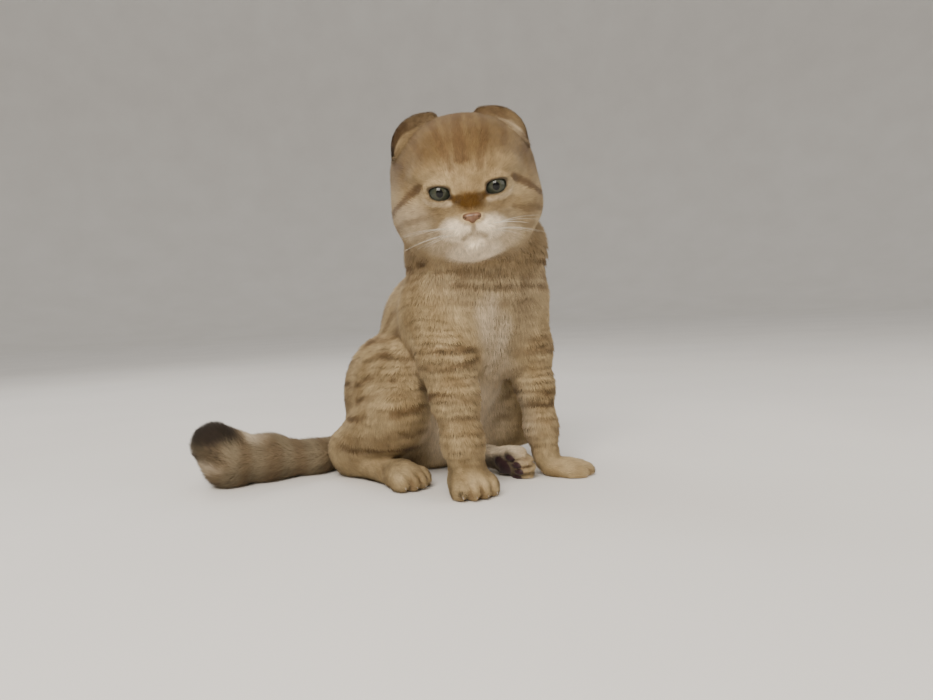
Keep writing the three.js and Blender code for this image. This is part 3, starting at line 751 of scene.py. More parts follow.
def body_markings(p, parts):
    """Shares of brown, cream, grey and dark on the body, legs and tail; the brown also holds painted shade
    between the toes and in the right thigh's low fold.
    """
    warped = p + 4 * noise(p, 26, 5)[:, None] + 2 * noise(p, 9, 6)[:, None]
    broken = soft_step(-0.3, 0.3, noise(p * np.array([1, 1, 1.8]), 14, 7))
    x, y, z = warped.T
    weights = {name: closeness(parts[name], lowest=DEEPEST) for name in PARTS}
    weights["trunk"] = closeness(parts["trunk"] + 2, lowest=DEEPEST)
    whole = sum(weights[name] for name in ("trunk", *PAWS, "tail"))
    on = {name: weights[name] / whole for name in ("trunk", *PAWS, "tail")}

    flank = bands(y * 0.75 + z * 0.5, 21, 0.36) * (0.3 + 0.7 * broken)
    spine = (1 - soft_step(5, 13, np.abs(x))) * soft_step(40, 90, p[:, 1])
    collar = bars(z, COLLAR_BARS, 1.4, 3.0) * (0.3 + 0.7 * broken)
    collar = np.maximum(collar, 0.42 * soft_step(184, 204, z)) * (1 - soft_step(60, 110, p[:, 1]))
    trunk = np.maximum.reduce([0.6 * flank * soft_step(30, 90, p[:, 1]), 0.75 * spine, collar])
    thigh = 0.8 * bands(z + 0.15 * y, 18, 0.34) * (0.15 + 0.85 * broken) * soft_step(34, 52, p[:, 2])
    # Painted shade: a thin brown line along the fold low on the right thigh, where the crease lies in
    # shade.
    fold = bars(z - 0.05 * (y - 100), THIGH_FOLD_SHADE, 0.8, 2.2)
    fold = fold * soft_step(50, 75, y) * soft_step(150, 125, y)
    inside_thigh = soft_step(82, 64, p[:, 1]) * soft_step(30, 55, z) * soft_step(-68, -48, x)
    thigh = thigh * (1 - 0.45 * inside_thigh)
    stripes = {
        "trunk": trunk,
        "hind_right": np.maximum(thigh, fold),
        "hind_left": thigh,
        "tail": 0.4 * bands(x, 27, 0.45),
    }
    for name, rows in ARM_BARS.items():
        stripes[name] = bars(z, rows) * (0.35 + 0.65 * broken)
    brown = sum(on[name] * stripes[name] for name in on)

    breast = stroke(warped, BREAST_LINE, 7, 20) * (0.7 + 0.3 * noise(p * np.array([1, 1, 0.35]), 7, 16))
    belly = patch(p, *BELLY)
    cream = np.maximum.reduce([
        0.85 * breast * (1 - 0.7 * (on["front_right"] + on["front_left"])),
        0.95 * belly,
        0.16 * soft_step(70, 20, p[:, 1]) * soft_step(205, 185, z) * on["trunk"],
        0.3 * inside_thigh * on["hind_right"],
        0.6 * (patch(p, *TAIL_RIM) * (0.6 + 0.4 * noise(p, 5, 17))),
        0.35 * patch(p, *TAIL_TOP) * on["tail"],
    ])

    low_on_hip = 0.12 * on["hind_right"] * soft_step(60, 20, p[:, 2])
    grey = np.maximum.reduce([0.85 * on["tail"], 0.1 * belly, low_on_hip])
    tip = soft_step(-168, -186, x) * soft_step(32, 45, z)
    streaks = soft_step(-192, -202, x) * soft_step(20, 28, z) * (0.3 + 0.7 * bands(y + 0.6 * z, 7, 0.5))
    dark = np.maximum(0.95 * tip, 0.75 * streaks) * on["tail"]
    for name, place in PAWS.items():
        q = place.inward(p)
        # Painted shade: brown in the slots between the toes, where shade falls between them.
        gap = np.abs((q[:, 0] / TOE_SPACING + 0.5) % 1 - 0.5) * TOE_SPACING
        between = (1 - soft_step(0.4, 1.5, gap)) * soft_step(-15, -23, q[:, 1])
        between = between * soft_step(16, 12, np.abs(q[:, 0])) * soft_step(3, 0, parts[name])
        brown = np.maximum(brown, 0.65 * between * soft_step(8, 0, q[:, 2]))
        if name.startswith("hind"):
            sole = soft_step(-5, -11, q[:, 2]) * soft_step(-26, -8, q[:, 1]) * (q[:, 1] < 96)
            beside = soft_step(32, 24, np.abs(q[:, 0])) * soft_step(-30, -24, q[:, 2])
            dark = np.maximum(dark, 0.8 * sole * beside * on[name])
    dark = np.maximum(dark, 0.7 * patch(PAWS["front_right"].inward(p), *OUTER_TOE_SPOT))
    brown *= 1 - 0.85 * cream
    return brown, cream, grey, dark


def pad_share(p):
    """Where the bare pads of the paws are."""
    share = np.zeros(len(p))
    for place in PAWS.values():
        q = place.inward(p)
        nearest = np.minimum.reduce(pads_shape(q))
        share = np.maximum(share, (1 - soft_step(0.2, 0.9, nearest)) * (q[:, 2] < -9))
    return share


def markings(p, parts):
    """All the shares as columns: brown, cream, dark; and grey, rust, pads."""
    h = HEAD.inward(p)
    lead = parts["head"] - np.minimum(parts["trunk"], FAR - 30)
    on_head = 1 / (1 + np.exp(np.clip(lead / 2.5 + 1, -30, 30)))
    ears = closeness(np.minimum(parts["ear_left"], parts["ear_right"]) - 0.8, 0.8)
    b1, c1, rust, d1 = head_markings(h)
    b2, c2, grey, d2 = body_markings(p, parts)
    brown, cream, dark = (
        head * on_head + body * (1 - on_head) for head, body in ((b1, b2), (c1, c2), (d1, d2))
    )
    # The right ear is dark brown along its fold and golden below; the left is paler, with a dark
    # stretch near its inner end and a cream flap.
    on_left = h[:, 0] > 0
    below = soft_step(-11, -16, h[:, 1] + 1.5 * noise(h, 6, 15))
    inner = soft_step(46, 36, np.abs(h[:, 0]))
    outer = soft_step(40, 32, h[:, 2])
    fold = np.where(on_left, 0.4 + 0.35 * inner + 0.45 * outer, 0.92 - 0.3 * inner)
    flap = np.where(on_left, 0.1 + 0.5 * outer, 0.04 + 0.4 * outer)
    brown = np.maximum(brown * (1 - ears), ears * (fold + (flap - fold) * below))
    cream = np.maximum(cream * (1 - ears), np.where(on_left, 0.3, 0.0) * ears * below)
    rust = rust * on_head * (1 - ears) + ears * (0.35 - 0.22 * below)
    dark = np.maximum(dark, np.where(on_left, 0.0, 0.3 + 0.3 * outer) * ears * (1 - below))
    first = np.stack([brown, cream, dark], axis=1)
    second = np.stack([grey * (1 - on_head), rust, pad_share(p)], axis=1)
    return first, second


ROW_HEIGHT = 7.0


def ripple(p, parts):
    """Rows in which the plush coat parts, from 0 just under a row to 1 at its edge, and their strength,
    which also sets the painted shade under each row.
    """
    warp = 2.4 * noise(p, 19, 11) + 1.1 * noise(p, 6, 12)
    row = ((-p[:, 2] + warp) / ROW_HEIGHT) % 1
    above_paws = soft_step(22, 38, p[:, 2])
    arms = closeness(np.minimum(parts["front_right"], parts["front_left"]))
    thighs = closeness(np.minimum(parts["hind_right"], parts["hind_left"]))
    front = soft_step(60, 20, p[:, 1]) * soft_step(228, 212, p[:, 2])
    breast = front * closeness(parts["trunk"])
    strength = np.maximum.reduce([arms * above_paws, 0.55 * thighs * above_paws, breast])
    gaps = soft_step(-0.5, 0.2, noise(p * np.array([1, 1, 2.2]), 15, 13))
    return row, strength * (0.42 + 0.58 * gaps)


# Tufts.

class Surface:
    """The skin's triangles, with the places and normals of their corners."""

    def __init__(self, mesh):
        mesh.calc_loop_triangles()
        self.vertices = read_rows(mesh.loop_triangles, "vertices", 3, np.int32)
        self.loops = read_rows(mesh.loop_triangles, "loops", 3, np.int32)
        self.places = read_places(mesh.vertices, "co")
        self.normals = read_rows(mesh.vertex_normals, "vector", 3).astype(np.float64)
        a, b, c = (self.places[self.vertices[:, i]] for i in range(3))
        self.areas = length(np.cross(b - a, c - a)) / 2
        self.centres = (a + b + c) / 3

    def scatter(self, chosen, density):
        """Random places on the chosen triangles, at a density per square millimetre."""
        weights = np.cumsum(self.areas[chosen] * density)
        count = int(weights[-1])
        spread = (np.arange(count) + rng.random(count)) * (weights[-1] / count)
        triangle = chosen[np.searchsorted(weights, spread).clip(max=len(chosen) - 1)]
        u, v = rng.random((2, count))
        over = u + v > 1
        u[over], v[over] = 1 - u[over], 1 - v[over]
        share = np.stack([1 - u - v, u, v], axis=1)
        corners = self.vertices[triangle]
        places = (self.places[corners] * share[:, :, None]).sum(axis=1)
        normals = unit((self.normals[corners] * share[:, :, None]).sum(axis=1))
        return triangle, share, places, normals


# How the coat grows in each region: tufts per square millimetre, their length and width, and the
# angle by which they stray from the lie of the coat.
GROWTH = {
    "face": dict(density=3.0, length=4.0, width=0.52, stray=0.15),
    "crown": dict(density=2.0, length=5.4, width=0.66, stray=0.15),
    "ears": dict(density=2.6, length=3.0, width=0.5, stray=0.2),
    "trunk": dict(density=1.0, length=9.0, width=1.0, stray=0.17),
    "legs": dict(density=1.5, length=6.2, width=0.78, stray=0.17),
    "paws": dict(density=2.4, length=4.2, width=0.6, stray=0.2),
    "tail": dict(density=1.3, length=9.5, width=0.95, stray=0.24),
}
COAT_GROUPS = {
    "head": ("face", "crown", "ears"),
    "trunk": ("trunk",),
    "legs": ("legs", "paws"),
    "tail": ("tail",),
}
LOWEST_HAIR = 0.25
PATCH = 0.003  # size of a tuft's patch on the unwrapped skin
MAP_MARGIN = 0.004  # left free at the sides of the unwrap
LARGEST_PIECE = 180000  # triangles in one piece of the coat


def region_of(p, parts):
    """The growth region's name for each place."""
    h = HEAD.inward(p)
    names = np.full(len(p), "trunk", dtype="U8")
    head = (parts["head"] < parts["trunk"] + 1) & (parts["head"] < 2)
    names[head] = "crown"
    names[head & (h[:, 1] < -30) & (h[:, 2] < 36) & (h[:, 2] > -62)] = "face"
    for name in PAWS:
        on_leg = (parts[name] < 1.5) & (parts[name] < parts["trunk"] + 1)
        names[on_leg] = "legs"
        q = PAWS[name].inward(p[on_leg])
        forward = 6 if name.startswith("hind") else 24
        on_paw = (q[:, 1] < forward) & (length(q) < 36)
        names[np.flatnonzero(on_leg)[on_paw]] = "paws"
    names[(parts["tail"] < 1.5) & (parts["tail"] < parts["trunk"] + 1)] = "tail"
    names[np.minimum(parts["ear_left"], parts["ear_right"]) < 1] = "ears"
    return names


def is_bare(p):
    """Where no hair grows: the lids' edges, the nose, the lips and the pads."""
    h = HEAD.inward(p)
    front = h[:, 1] < FACE_FRONT
    bare = pad_share(p) > 0.4
    for side in (1, -1):
        bare |= (lid_line(h, side) < lid_rim(h, side) + 0.7) & front
    bare |= blob(h, NOSE_PLACE, NOSE_SIZE, (-20, 0, 0)) < 1.2
    bare |= (mouth_line(h) < 1.5) & (h[:, 1] < LIPS_FRONT)
    return bare | (p[:, 2] < 1.2)


def length_share(p, parts):
    """How long the tufts are beside their region's own length: short on the muzzle and round the eyes."""
    h = HEAD.inward(p)
    share = 0.5 + 0.6 * soft_step(12, 58, length(h - np.array(NOSE_PLACE)))
    for side in (1, -1):
        near_eye = soft_step(8, 1.5, lid_line(h, side)) * (h[:, 1] < -30)
        share = share * (1 - 0.7 * near_eye)
    return np.where(parts["head"] < parts["trunk"], share, 1.0)


TUFT_FACES = np.array([(0, 1, 2), (1, 0, 3), (2, 1, 3), (0, 2, 3)])
TUFT_ALONG = (0.0, 0.0, 0.0, 1.0)
TUFT_ACROSS = (-0.5, 0.0, 0.5, 0.0)
NORMAL_SPREAD = 0.55  # how far a tuft's shading turns from the skin's own, toward its side
TIP_TURN = 0.65  # and how far its tip's does along the hair, so that it is lit against the nap
ROW_TILT = 1.2  # how far the shading turns down at a row's edge, and up under it


def tuft_rows(roots, normals, ways, leaning, sizes):
    """Points, their shading normals and the triangles of closed, pointed tufts."""
    tall, wide, rise, sway = sizes
    side = np.cross(normals, ways)
    half = (wide / 2)[:, None]
    foot = roots - normals * (0.1 * rise)[:, None]
    tip = roots + ways * tall[:, None] + normals * rise[:, None] + side * sway[:, None]
    points = np.stack([foot - side * half, foot + normals * half * 0.9, foot + side * half, tip], axis=1)
    aside = NORMAL_SPREAD * side
    turns = (-aside, -0.2 * ways, aside, TIP_TURN * ways)
    shading = np.stack([leaning + turn for turn in turns], axis=1)
    corners = np.arange(len(roots))[:, None, None] * 4 + TUFT_FACES[None]
    return points.reshape(-1, 3), unit(shading.reshape(-1, 3)), corners.reshape(-1, 3)


def grow_coat(surface, unwraps, material):
    """All the tufts, in pieces by group of regions."""
    regions = region_of(surface.centres, part_distances(surface.centres, 1))
    bare = is_bare(surface.centres)
    thin = 1.0
    pieces = []
    for group, members in COAT_GROUPS.items():
        scattered = []
        triangles = 0
        for region in members:
            growth = GROWTH[region]
            chosen = np.flatnonzero((regions == region) & ~bare)
            roots = surface.scatter(chosen, growth["density"] * thin)
            keep = ~is_bare(roots[2])
            scattered.append((growth, [values[keep] for values in roots]))
            triangles += keep.sum() * len(TUFT_FACES)
        layers = math.ceil(triangles / LARGEST_PIECE)
        for layer in range(layers):
            batches = []
            for growth, roots in scattered:
                share = [values[layer::layers] for values in roots]
                batches.append(grow_tufts(surface, unwraps[group], growth, *share))
            pieces.append(coat_piece(f"coat_{group}_{layer + 1}", batches, material))
    return pieces


SKIN_SHADE_ALONG = 0.3  # how far along a hair the skin's own colour is taken, so that the skin gets that share of the painted shade at the roots


def marks_at(places, parts, vary, row, strength):
    """The attributes that the coat's material reads, for places on the skin."""
    first, second = markings(places, parts)
    # The third column is painted shade: it darkens tufts rooted just under a row's edge, which the row
    # above shades.
    growth = [np.full(len(places), SKIN_SHADE_ALONG), vary, strength * soft_step(0.32, 0.0, row)]
    return {
        "first_marks": first,
        "second_marks": second,
        "root_place": to_metres(places),
        "growth": np.stack(growth, axis=1),  # way along the hair, variety and painted shade under a row's edge
    }


def grow_tufts(surface, unwrap, growth, triangle, share, roots, normals):
    """Tufts on the roots: points, triangles, unwrapped places and attributes."""
    count = len(roots)
    parts = part_distances(roots, 1)
    ways = lie_of_coat(roots, parts)
    ways = unit(ways - normals * (ways * normals).sum(axis=1)[:, None])
    angle = rng.normal(0, growth["stray"], count) + 0.3 * noise(roots, 14, 21)
    side = np.cross(normals, ways)
    ways = ways * np.cos(angle)[:, None] + side * np.sin(angle)[:, None]
    row, strength = ripple(roots, parts)
    swell = np.clip(1 - strength * (0.5 - 0.62 * row), 0.5, 1.12)
    lock = 1 + 0.12 * noise(roots, 3.2, 22)
    depth = np.clip(-body_distance(roots, 0), 0.5, 7)
    tall = growth["length"] * rng.uniform(0.75, 1.2, count) * length_share(roots, parts)
    rise = np.minimum(depth * rng.uniform(0.75, 1.12, count) * swell * lock, 0.75 * tall)
    wide = growth["width"] * rng.uniform(0.75, 1.25, count)
    sway = tall * rng.normal(0, 0.08, count)
    tilt = ROW_TILT * strength * (row - 0.5) + 0.25 * noise(roots, 3.2, 22)
    leaning = unit(normals + ways * tilt[:, None])
    points, shading, corners = tuft_rows(roots, normals, ways, leaning, (tall, wide, rise, sway))
    points[:, 2] = np.maximum(points[:, 2], LOWEST_HAIR)
    along = np.tile(TUFT_ALONG, count)
    across = np.tile(TUFT_ACROSS, count)
    per_tuft = len(TUFT_ALONG)
    root_uv = (unwrap[surface.loops[triangle]] * share[:, :, None]).sum(axis=1)
    uv = np.repeat(root_uv, per_tuft, axis=0) + np.stack([across, along], axis=1) * PATCH
    uv[:, 1] -= (across == 0) * (along == 0) * 0.25 * PATCH
    rooted = marks_at(roots, parts, rng.random(count), row, strength)
    each = {name: np.repeat(values, per_tuft, axis=0) for name, values in rooted.items()}
    each["growth"][:, 0] = along
    each["custom_normal"] = shading
    return points, corners, np.clip(uv, 0.001, 0.999), each


def coat_piece(name, batches, material):
    """One piece of the coat out of batches of tufts."""
    points, corners, uv, each = zip(*batches)
    starts = np.cumsum([0] + [len(batch) for batch in points])
    corners = np.concatenate([faces + start for faces, start in zip(corners, starts)])
    attributes = {key: np.concatenate([batch[key] for batch in each]) for key in each[0]}
    piece = mesh_object(name, np.concatenate(points), corners, material, attributes)
    set_bake_map(piece.data, np.concatenate(uv)[corners.ravel()])
    return piece


def unwrap_faces(obj, chosen):
    """Unwraps the chosen faces over the whole unit square, and returns all corners' places."""
    mesh = obj.data
    layer = mesh.uv_layers.new(name="unwrap")
    mesh.uv_layers.active = layer
    mesh.polygons.foreach_set("select", chosen)
    bpy.context.view_layer.objects.active = obj
    bpy.ops.object.mode_set(mode="EDIT")
    bpy.ops.uv.smart_project(angle_limit=math.radians(66), island_margin=0.001)
    bpy.ops.object.mode_set(mode="OBJECT")
    places = read_rows(mesh.uv_layers["unwrap"].data, "uv", 2).astype(np.float64)
    sizes = read_rows(mesh.polygons, "loop_total", 1, np.int32).ravel()
    used = places[np.repeat(chosen, sizes)]
    low, high = used.min(axis=0), used.max(axis=0)
    mesh.uv_layers.remove(mesh.uv_layers["unwrap"])
    return MAP_MARGIN + (1 - 2 * MAP_MARGIN) * (places - low) / (high - low)


# Materials.

class Nodes:
    """Short ways to build a material's node tree."""

    def __init__(self, name):
        self.material = bpy.data.materials.new(name)
        self.material.use_nodes = True
        self.tree = self.material.node_tree
        self.shader = self.tree.nodes["Principled BSDF"]

    def link(self, source, target):
        self.tree.links.new(source, target)

    def fill(self, socket, value):
        if isinstance(value, bpy.types.NodeSocket):
            self.link(value, socket)
        elif isinstance(value, tuple):
            socket.default_value = (*value, 1) if len(socket.default_value) == 4 else value
        else:
            socket.default_value = value

    def set(self, **values):
        """Sets the shader's own sockets: numbers, colours or links."""
        for name, value in values.items():
            words = name.replace("_", " ").title().replace("Ior", "IOR")
            self.fill(self.shader.inputs[words], value)

    def node(self, kind, *inputs, output=0, **settings):
        """The output of a new node, from its first inputs and its settings."""
        node = self.tree.nodes.new("ShaderNode" + kind)
        for name, value in settings.items():
            setattr(node, name, value)
        for socket, value in zip(node.inputs, inputs):
            self.fill(socket, value)
        return node.outputs[output]

    def attribute(self, name, output="Vector"):
        return self.node("Attribute", attribute_name=name, output=output)

    def split(self, vector):
        return self.node("SeparateXYZ", vector).node.outputs

    def math(self, operation, first, second=0.0):
        return self.node("Math", first, second, operation=operation)

    def spread(self, value, low, high, to_low=0.0, to_high=1.0):
        """The value's way from low to high, as a number from to_low to to_high."""
        return self.node("MapRange", value, low, high, to_low, to_high)

    def mix(self, share, first, second, blend="MIX"):
        node = self.tree.nodes.new("ShaderNodeMix")
        node.data_type = "RGBA"
        node.blend_type = blend
        self.fill(node.inputs[0], share)
        self.fill(node.inputs[6], first)
        self.fill(node.inputs[7], second)
        return node.outputs[2]

    def noise(self, vector, scale, detail=3.0):
        return self.node("TexNoise", vector, 0.0, scale, detail)

    def ramp(self, value, stops):
        node = self.tree.nodes.new("ShaderNodeValToRGB")
        ramp = node.color_ramp
        while len(ramp.elements) < len(stops):
            ramp.elements.new(0.5)
        for element, (position, colour) in zip(ramp.elements, stops):
            element.position = position
            element.color = (*colour, 1)
        self.link(value, node.inputs[0])
        return node.outputs[0]

    def sum_of_squares(self, *values):
        return self.math("ADD", *(self.math("MULTIPLY", value, value) for value in values))

    def bump(self, height, strength, distance):
        node = self.tree.nodes.new("ShaderNodeBump")
        node.inputs["Strength"].default_value = strength
        node.inputs["Distance"].default_value = distance
        self.link(height, node.inputs["Height"])
        self.link(node.outputs[0], self.shader.inputs["Normal"])


def grained_material(name, grain, colours, bump=None, edge_colour=None, **finish):
    """Two colours mixed by soft noise of a scale and detail, with a fine bump."""
    n = Nodes(name)
    coordinates = n.node("TexCoord", output="Object")
    colour = n.ramp(n.noise(coordinates, *grain), colours)
    if edge_colour:
        colour = n.mix(n.attribute("edge", "Fac"), colour, edge_colour)
    n.set(base_color=colour, **finish)
    if bump:
        scale, strength, distance = bump
        n.bump(n.noise(coordinates, scale, 2), strength, distance)
    return n.material


GOLD_LIGHT = (0.57, 0.43, 0.24)
GOLD_DEEP = (0.385, 0.275, 0.14)
BROWN = (0.125, 0.068, 0.028)
CREAM = (0.95, 0.80, 0.59)
RUST = (0.095, 0.043, 0.004)
GREY = (0.17, 0.138, 0.092)
NEAR_BLACK = (0.020, 0.014, 0.010)
PAD = (0.032, 0.015, 0.017)


def coat_material(name):
    """Fur: the markings' colours, lighter toward each tuft's tip: painted shade darkens each tuft toward
    its root, and the tufts under each row's edge.
    """
    n = Nodes(name)
    brown, cream, dark = n.split(n.attribute("first_marks"))
    grey, rust, pads = n.split(n.attribute("second_marks"))
    along, vary, painted_row_shade = n.split(n.attribute("growth"))
    place = n.attribute("root_place")
    broad = n.spread(n.noise(place, 45), 0.35, 0.65)
    fine = n.spread(n.noise(place, 300, 2), 0.3, 0.7, 0.84, 1.14)
    colour = n.mix(broad, GOLD_DEEP, GOLD_LIGHT)
    colour = n.mix(grey, colour, GREY)
    colour = n.mix(rust, colour, RUST)
    colour = n.mix(cream, colour, CREAM)
    colour = n.mix(brown, colour, BROWN)
    colour = n.mix(dark, colour, NEAR_BLACK)
    # Painted shade: each tuft grows darker toward its root, where the coat shades itself.
    painted_root_shade = n.ramp(along, [(0.0, (0.7,) * 3), (0.5, (0.93,) * 3), (1.0, (1.0,) * 3)])
    colour = n.mix(1.0, colour, painted_root_shade, "MULTIPLY")
    value = n.math("MULTIPLY", fine, n.spread(vary, 0, 1, 0.88, 1.12))
    # Painted shade: tufts under a row's edge are darkened, where the row above shades them.
    value = n.math("MULTIPLY", value, n.spread(painted_row_shade, 0, 1, 1.0, 0.26))
    scaled = n.node("VectorMath", colour, operation="SCALE")
    n.link(value, scaled.node.inputs["Scale"])
    colour = n.mix(pads, scaled, PAD)
    n.set(base_color=colour, roughness=n.spread(pads, 0, 1, 0.72, 0.42), specular_ior_level=0.15)
    n.set(sheen_weight=0.05, sheen_roughness=0.5)
    n.bump(n.noise(place, 900, 2), 0.35, 0.0006)
    return n.material


def eye_material():
    """A cat's eye: a tall pupil in a dark grey-green iris with fine spokes and a darker outer ring."""
    n = Nodes("eye_surface")
    across, _, up = n.split(n.attribute("iris_place"))
    radius = n.math("SQRT", n.sum_of_squares(across, up))
    angle = n.math("ARCTAN2", up, across)
    ring = [n.math("MULTIPLY", n.math(turn, angle), IRIS_SPOKES) for turn in ("SINE", "COSINE")]
    spokes = n.node("CombineXYZ", *ring, n.math("MULTIPLY", radius, 0.12))
    fibres = n.noise(spokes, 2.6, 4)
    iris = n.ramp(n.spread(radius, 1.5, 8.6), [
        (0.0, (0.040, 0.034, 0.016)), (0.35, (0.046, 0.047, 0.029)), (0.75, (0.034, 0.038, 0.028)),
        (0.92, (0.012, 0.014, 0.011)), (1.0, (0.005, 0.005, 0.004)),
    ])
    iris = n.mix(n.spread(fibres, 0.35, 0.7, 0.0, 0.6), iris, (0.026, 0.033, 0.026))
    squeezed = n.math("DIVIDE", across, PUPIL_HALF_WIDTH)
    stretched = n.math("DIVIDE", up, PUPIL_HALF_HEIGHT)
    pupil = n.sum_of_squares(squeezed, stretched)
    colour = n.mix(n.spread(pupil, 0.85, 1.15), (0.003, 0.003, 0.003), iris)
    n.set(base_color=colour, roughness=0.05, specular_ior_level=0.3)
    return n.material


def nose_material():
    colours = [(0.35, (0.11, 0.054, 0.028)), (0.65, (0.185, 0.096, 0.051))]
    bump, edge = (1700, 0.5, 0.0003), (0.045, 0.020, 0.015)
    return grained_material(
        "nose_skin", (260, 3), colours, bump, edge, roughness=0.38, specular_ior_level=0.45
    )


def claw_material():
    colours = [(0.3, (0.40, 0.30, 0.24)), (0.7, (0.66, 0.56, 0.46))]
    finish = dict(roughness=0.32, specular_ior_level=0.5, subsurface_weight=0.1)
    return grained_material("claw_horn", (700, 3), colours, (1500, 0.2, 0.0002), **finish)


def whisker_material():
    colours = [(0.3, (0.46, 0.41, 0.33)), (0.7, (0.68, 0.63, 0.54))]
    return grained_material("whisker_hair", (90, 2), colours, roughness=0.4, specular_ior_level=0.4)


def floor_material():
    colours = [(0.3, (0.70, 0.68, 0.65)), (0.7, (0.74, 0.72, 0.69))]
    return grained_material("floor_pale", (3, 3), colours, roughness=0.8)


# Eyes, nose, claws and whiskers.

PUPIL_HALF_WIDTH = 2.8
PUPIL_HALF_HEIGHT = 3.3
IRIS_RADIUS = 8.4
IRIS_SPOKES = 6.0  # size of the ring through the noise that makes the spokes
CORNEA_RISE = 0.9


def grid_faces(rows, columns):
    """Quads between rings of points, each ring closed."""
    i, j = np.meshgrid(np.arange(rows - 1), np.arange(columns), indexing="ij")
    after = (j + 1) % columns
    corners = ((i, j), (i, after), (i + 1, after), (i + 1, j))
    return np.stack([row * columns + column for row, column in corners], axis=-1).reshape(-1, 4)


def make_eye(word, side, material):
    """An eyeball with a raised cornea; the pupil looks along -Y."""
    rows, columns = 48, 64
    theta = np.linspace(0.001, math.pi - 0.001, rows)[:, None]
    phi = (np.arange(columns) * 2 * math.pi / columns)[None, :]
    iris_angle = math.asin(IRIS_RADIUS / EYEBALL_RADIUS)
    rise = CORNEA_RISE * (1 - soft_step(0, iris_angle, theta.ravel()))[:, None]
    radius = EYEBALL_RADIUS + rise + 0 * phi
    x = radius * np.sin(theta) * np.cos(phi)
    y = -radius * np.cos(theta) + 0 * phi
    z = radius * np.sin(theta) * np.sin(phi)
    local = np.stack([x, y, z], axis=-1).reshape(-1, 3)
    centre = np.array([EYE_CENTRE[0] * side, EYE_CENTRE[1], EYE_CENTRE[2]])
    faces = grid_faces(rows, columns)[:, ::-1]
    return mesh_object(
        f"eyeball_{word}", HEAD.outward(local + centre), faces, material, {"iris_place": local}
    )


NOSTRIL = ((2.4, -72.2, -24, 1.1), (4.6, -71, -24.6, 0.9), (6.8, -67.5, -23.6, 0.4))


def nose_shape(h):
    nose = blob(h, NOSE_PLACE, NOSE_SIZE, (-20, 0, 0))
    nose = join(2.5, nose, blob(h, (0, -68, -26.2), (2.4, 2.8, 2.4)))
    for side in (1, -1):
        wing = blob(h, (4.4 * side, -67, -23.6), (3.0, 3.6, 2.6))
        nose = join(1.5, nose, wing)
        hole = [(x * side, y, z, radius) for x, y, z, radius in NOSTRIL]
        nose = carve(0.8, nose, chain(h, 1, hole))
    groove = limb(h, (0, -72.5, -25.5), 0.4, (0, -71, -32), 0.45)
    return carve(0.6, nose, groove)


def make_nose(material):
    middle = HEAD.outward(np.array([NOSE_PLACE], float))[0]
    box = (middle - 13, middle + 13)
    points, quads = surface_quads(lambda p: nose_shape(HEAD.inward(p)), box, NOSE_CELL)
    outer = length((HEAD.inward(points) - np.array([0, -70, -24.5])) / np.array([8.6, 9, 5.8]))
    return mesh_object("nose_leather", points, quads, material, {"edge": soft_step(0.75, 1.0, outer)})


def tube(path, radii, sides):
    """Rings round a path, and the quads between them."""
    path = np.asarray(path, float)
    ahead = unit(np.gradient(path, axis=0))
    first = unit(np.cross(ahead, np.tile([0.13, 0.21, 0.97], (len(path), 1))))
    second = np.cross(ahead, first)
    turns = np.arange(sides) * 2 * math.pi / sides
    ring = first[:, None] * np.cos(turns)[None, :, None] + second[:, None] * np.sin(turns)[None, :, None]
    points = path[:, None] + ring * np.asarray(radii)[:, None, None]
    return points.reshape(-1, 3), grid_faces(len(path), sides)


def tubes_object(name, tubes, material):
    """Many tubes in one object."""
    starts = np.cumsum([0] + [len(points) for points, _ in tubes])
    points = np.concatenate([points for points, _ in tubes])
    quads = np.concatenate([quads + start for (_, quads), start in zip(tubes, starts)])
    return mesh_object(name, points, quads, material)


def make_claws(name, material):
    """The four claws of a paw, each curved down out of its toe."""
    t = np.linspace(0, 1, 9)
    radii = 1.6 * (1 - t ** 1.6) + 0.12
    tubes = []
    for slot in TOE_SLOTS:
        forward = TOE_FAN * slot * slot - CLAW_FORWARD + 3.4 - 6.4 * t
        path = np.stack([np.full(9, slot * CLAW_SPACING), forward, -3.6 - 1.2 * t - 3.4 * t * t], axis=1)
        tubes.append(tube(PAWS[name].outward(path), radii, 10))
    return tubes_object(f"claws_{name}", tubes, material)


def make_whiskers(material):
    """Whiskers on the muzzle, in two rows on each side."""
    t = np.linspace(0, 1, 12)[:, None]
    radii = 0.11 * (1 - t.ravel()) + 0.04
    tubes = []
    for side, row, column in itertools.product((1, -1), range(2), range(4)):
        root = np.array([(10 + 3.2 * column) * side, -69 + 1.9 * column + 1.2 * row, -31 - 4.2 * row])
        reach = 30 + 5 * column + rng.uniform(-3, 3)
        up = 0.12 - 0.16 * row + rng.uniform(-0.05, 0.05)
        way = unit(np.array([[side * 1.0, -0.25 + 0.2 * column, up]]))
        droop = np.array([0, 0.34, -0.22]) * reach
        path = root + way * reach * t + droop * t * t
        tubes.append(tube(HEAD.outward(path), radii, 5))
    return tubes_object("whiskers", tubes, material)


# Putting the cat together.

fur = coat_material("fur")
skin = make_skin(fur)
surface = Surface(skin.data)
skin_parts = part_distances(surface.places, 1)
half = np.full(len(surface.places), 0.5)  # the skin's variety: none
skin_marks = marks_at(surface.places, skin_parts, half, *ripple(surface.places, skin_parts))
for name, values in skin_marks.items():
    set_attribute(skin.data, name, values)

face_centres = read_places(skin.data.polygons, "center")
face_regions = region_of(face_centres, part_distances(face_centres, 1))
unwraps = {
    group: unwrap_faces(skin, np.isin(face_regions, members))
    for group, members in COAT_GROUPS.items()
}
set_bake_map(skin.data, unwrap_faces(skin, np.ones(len(face_regions), bool)))

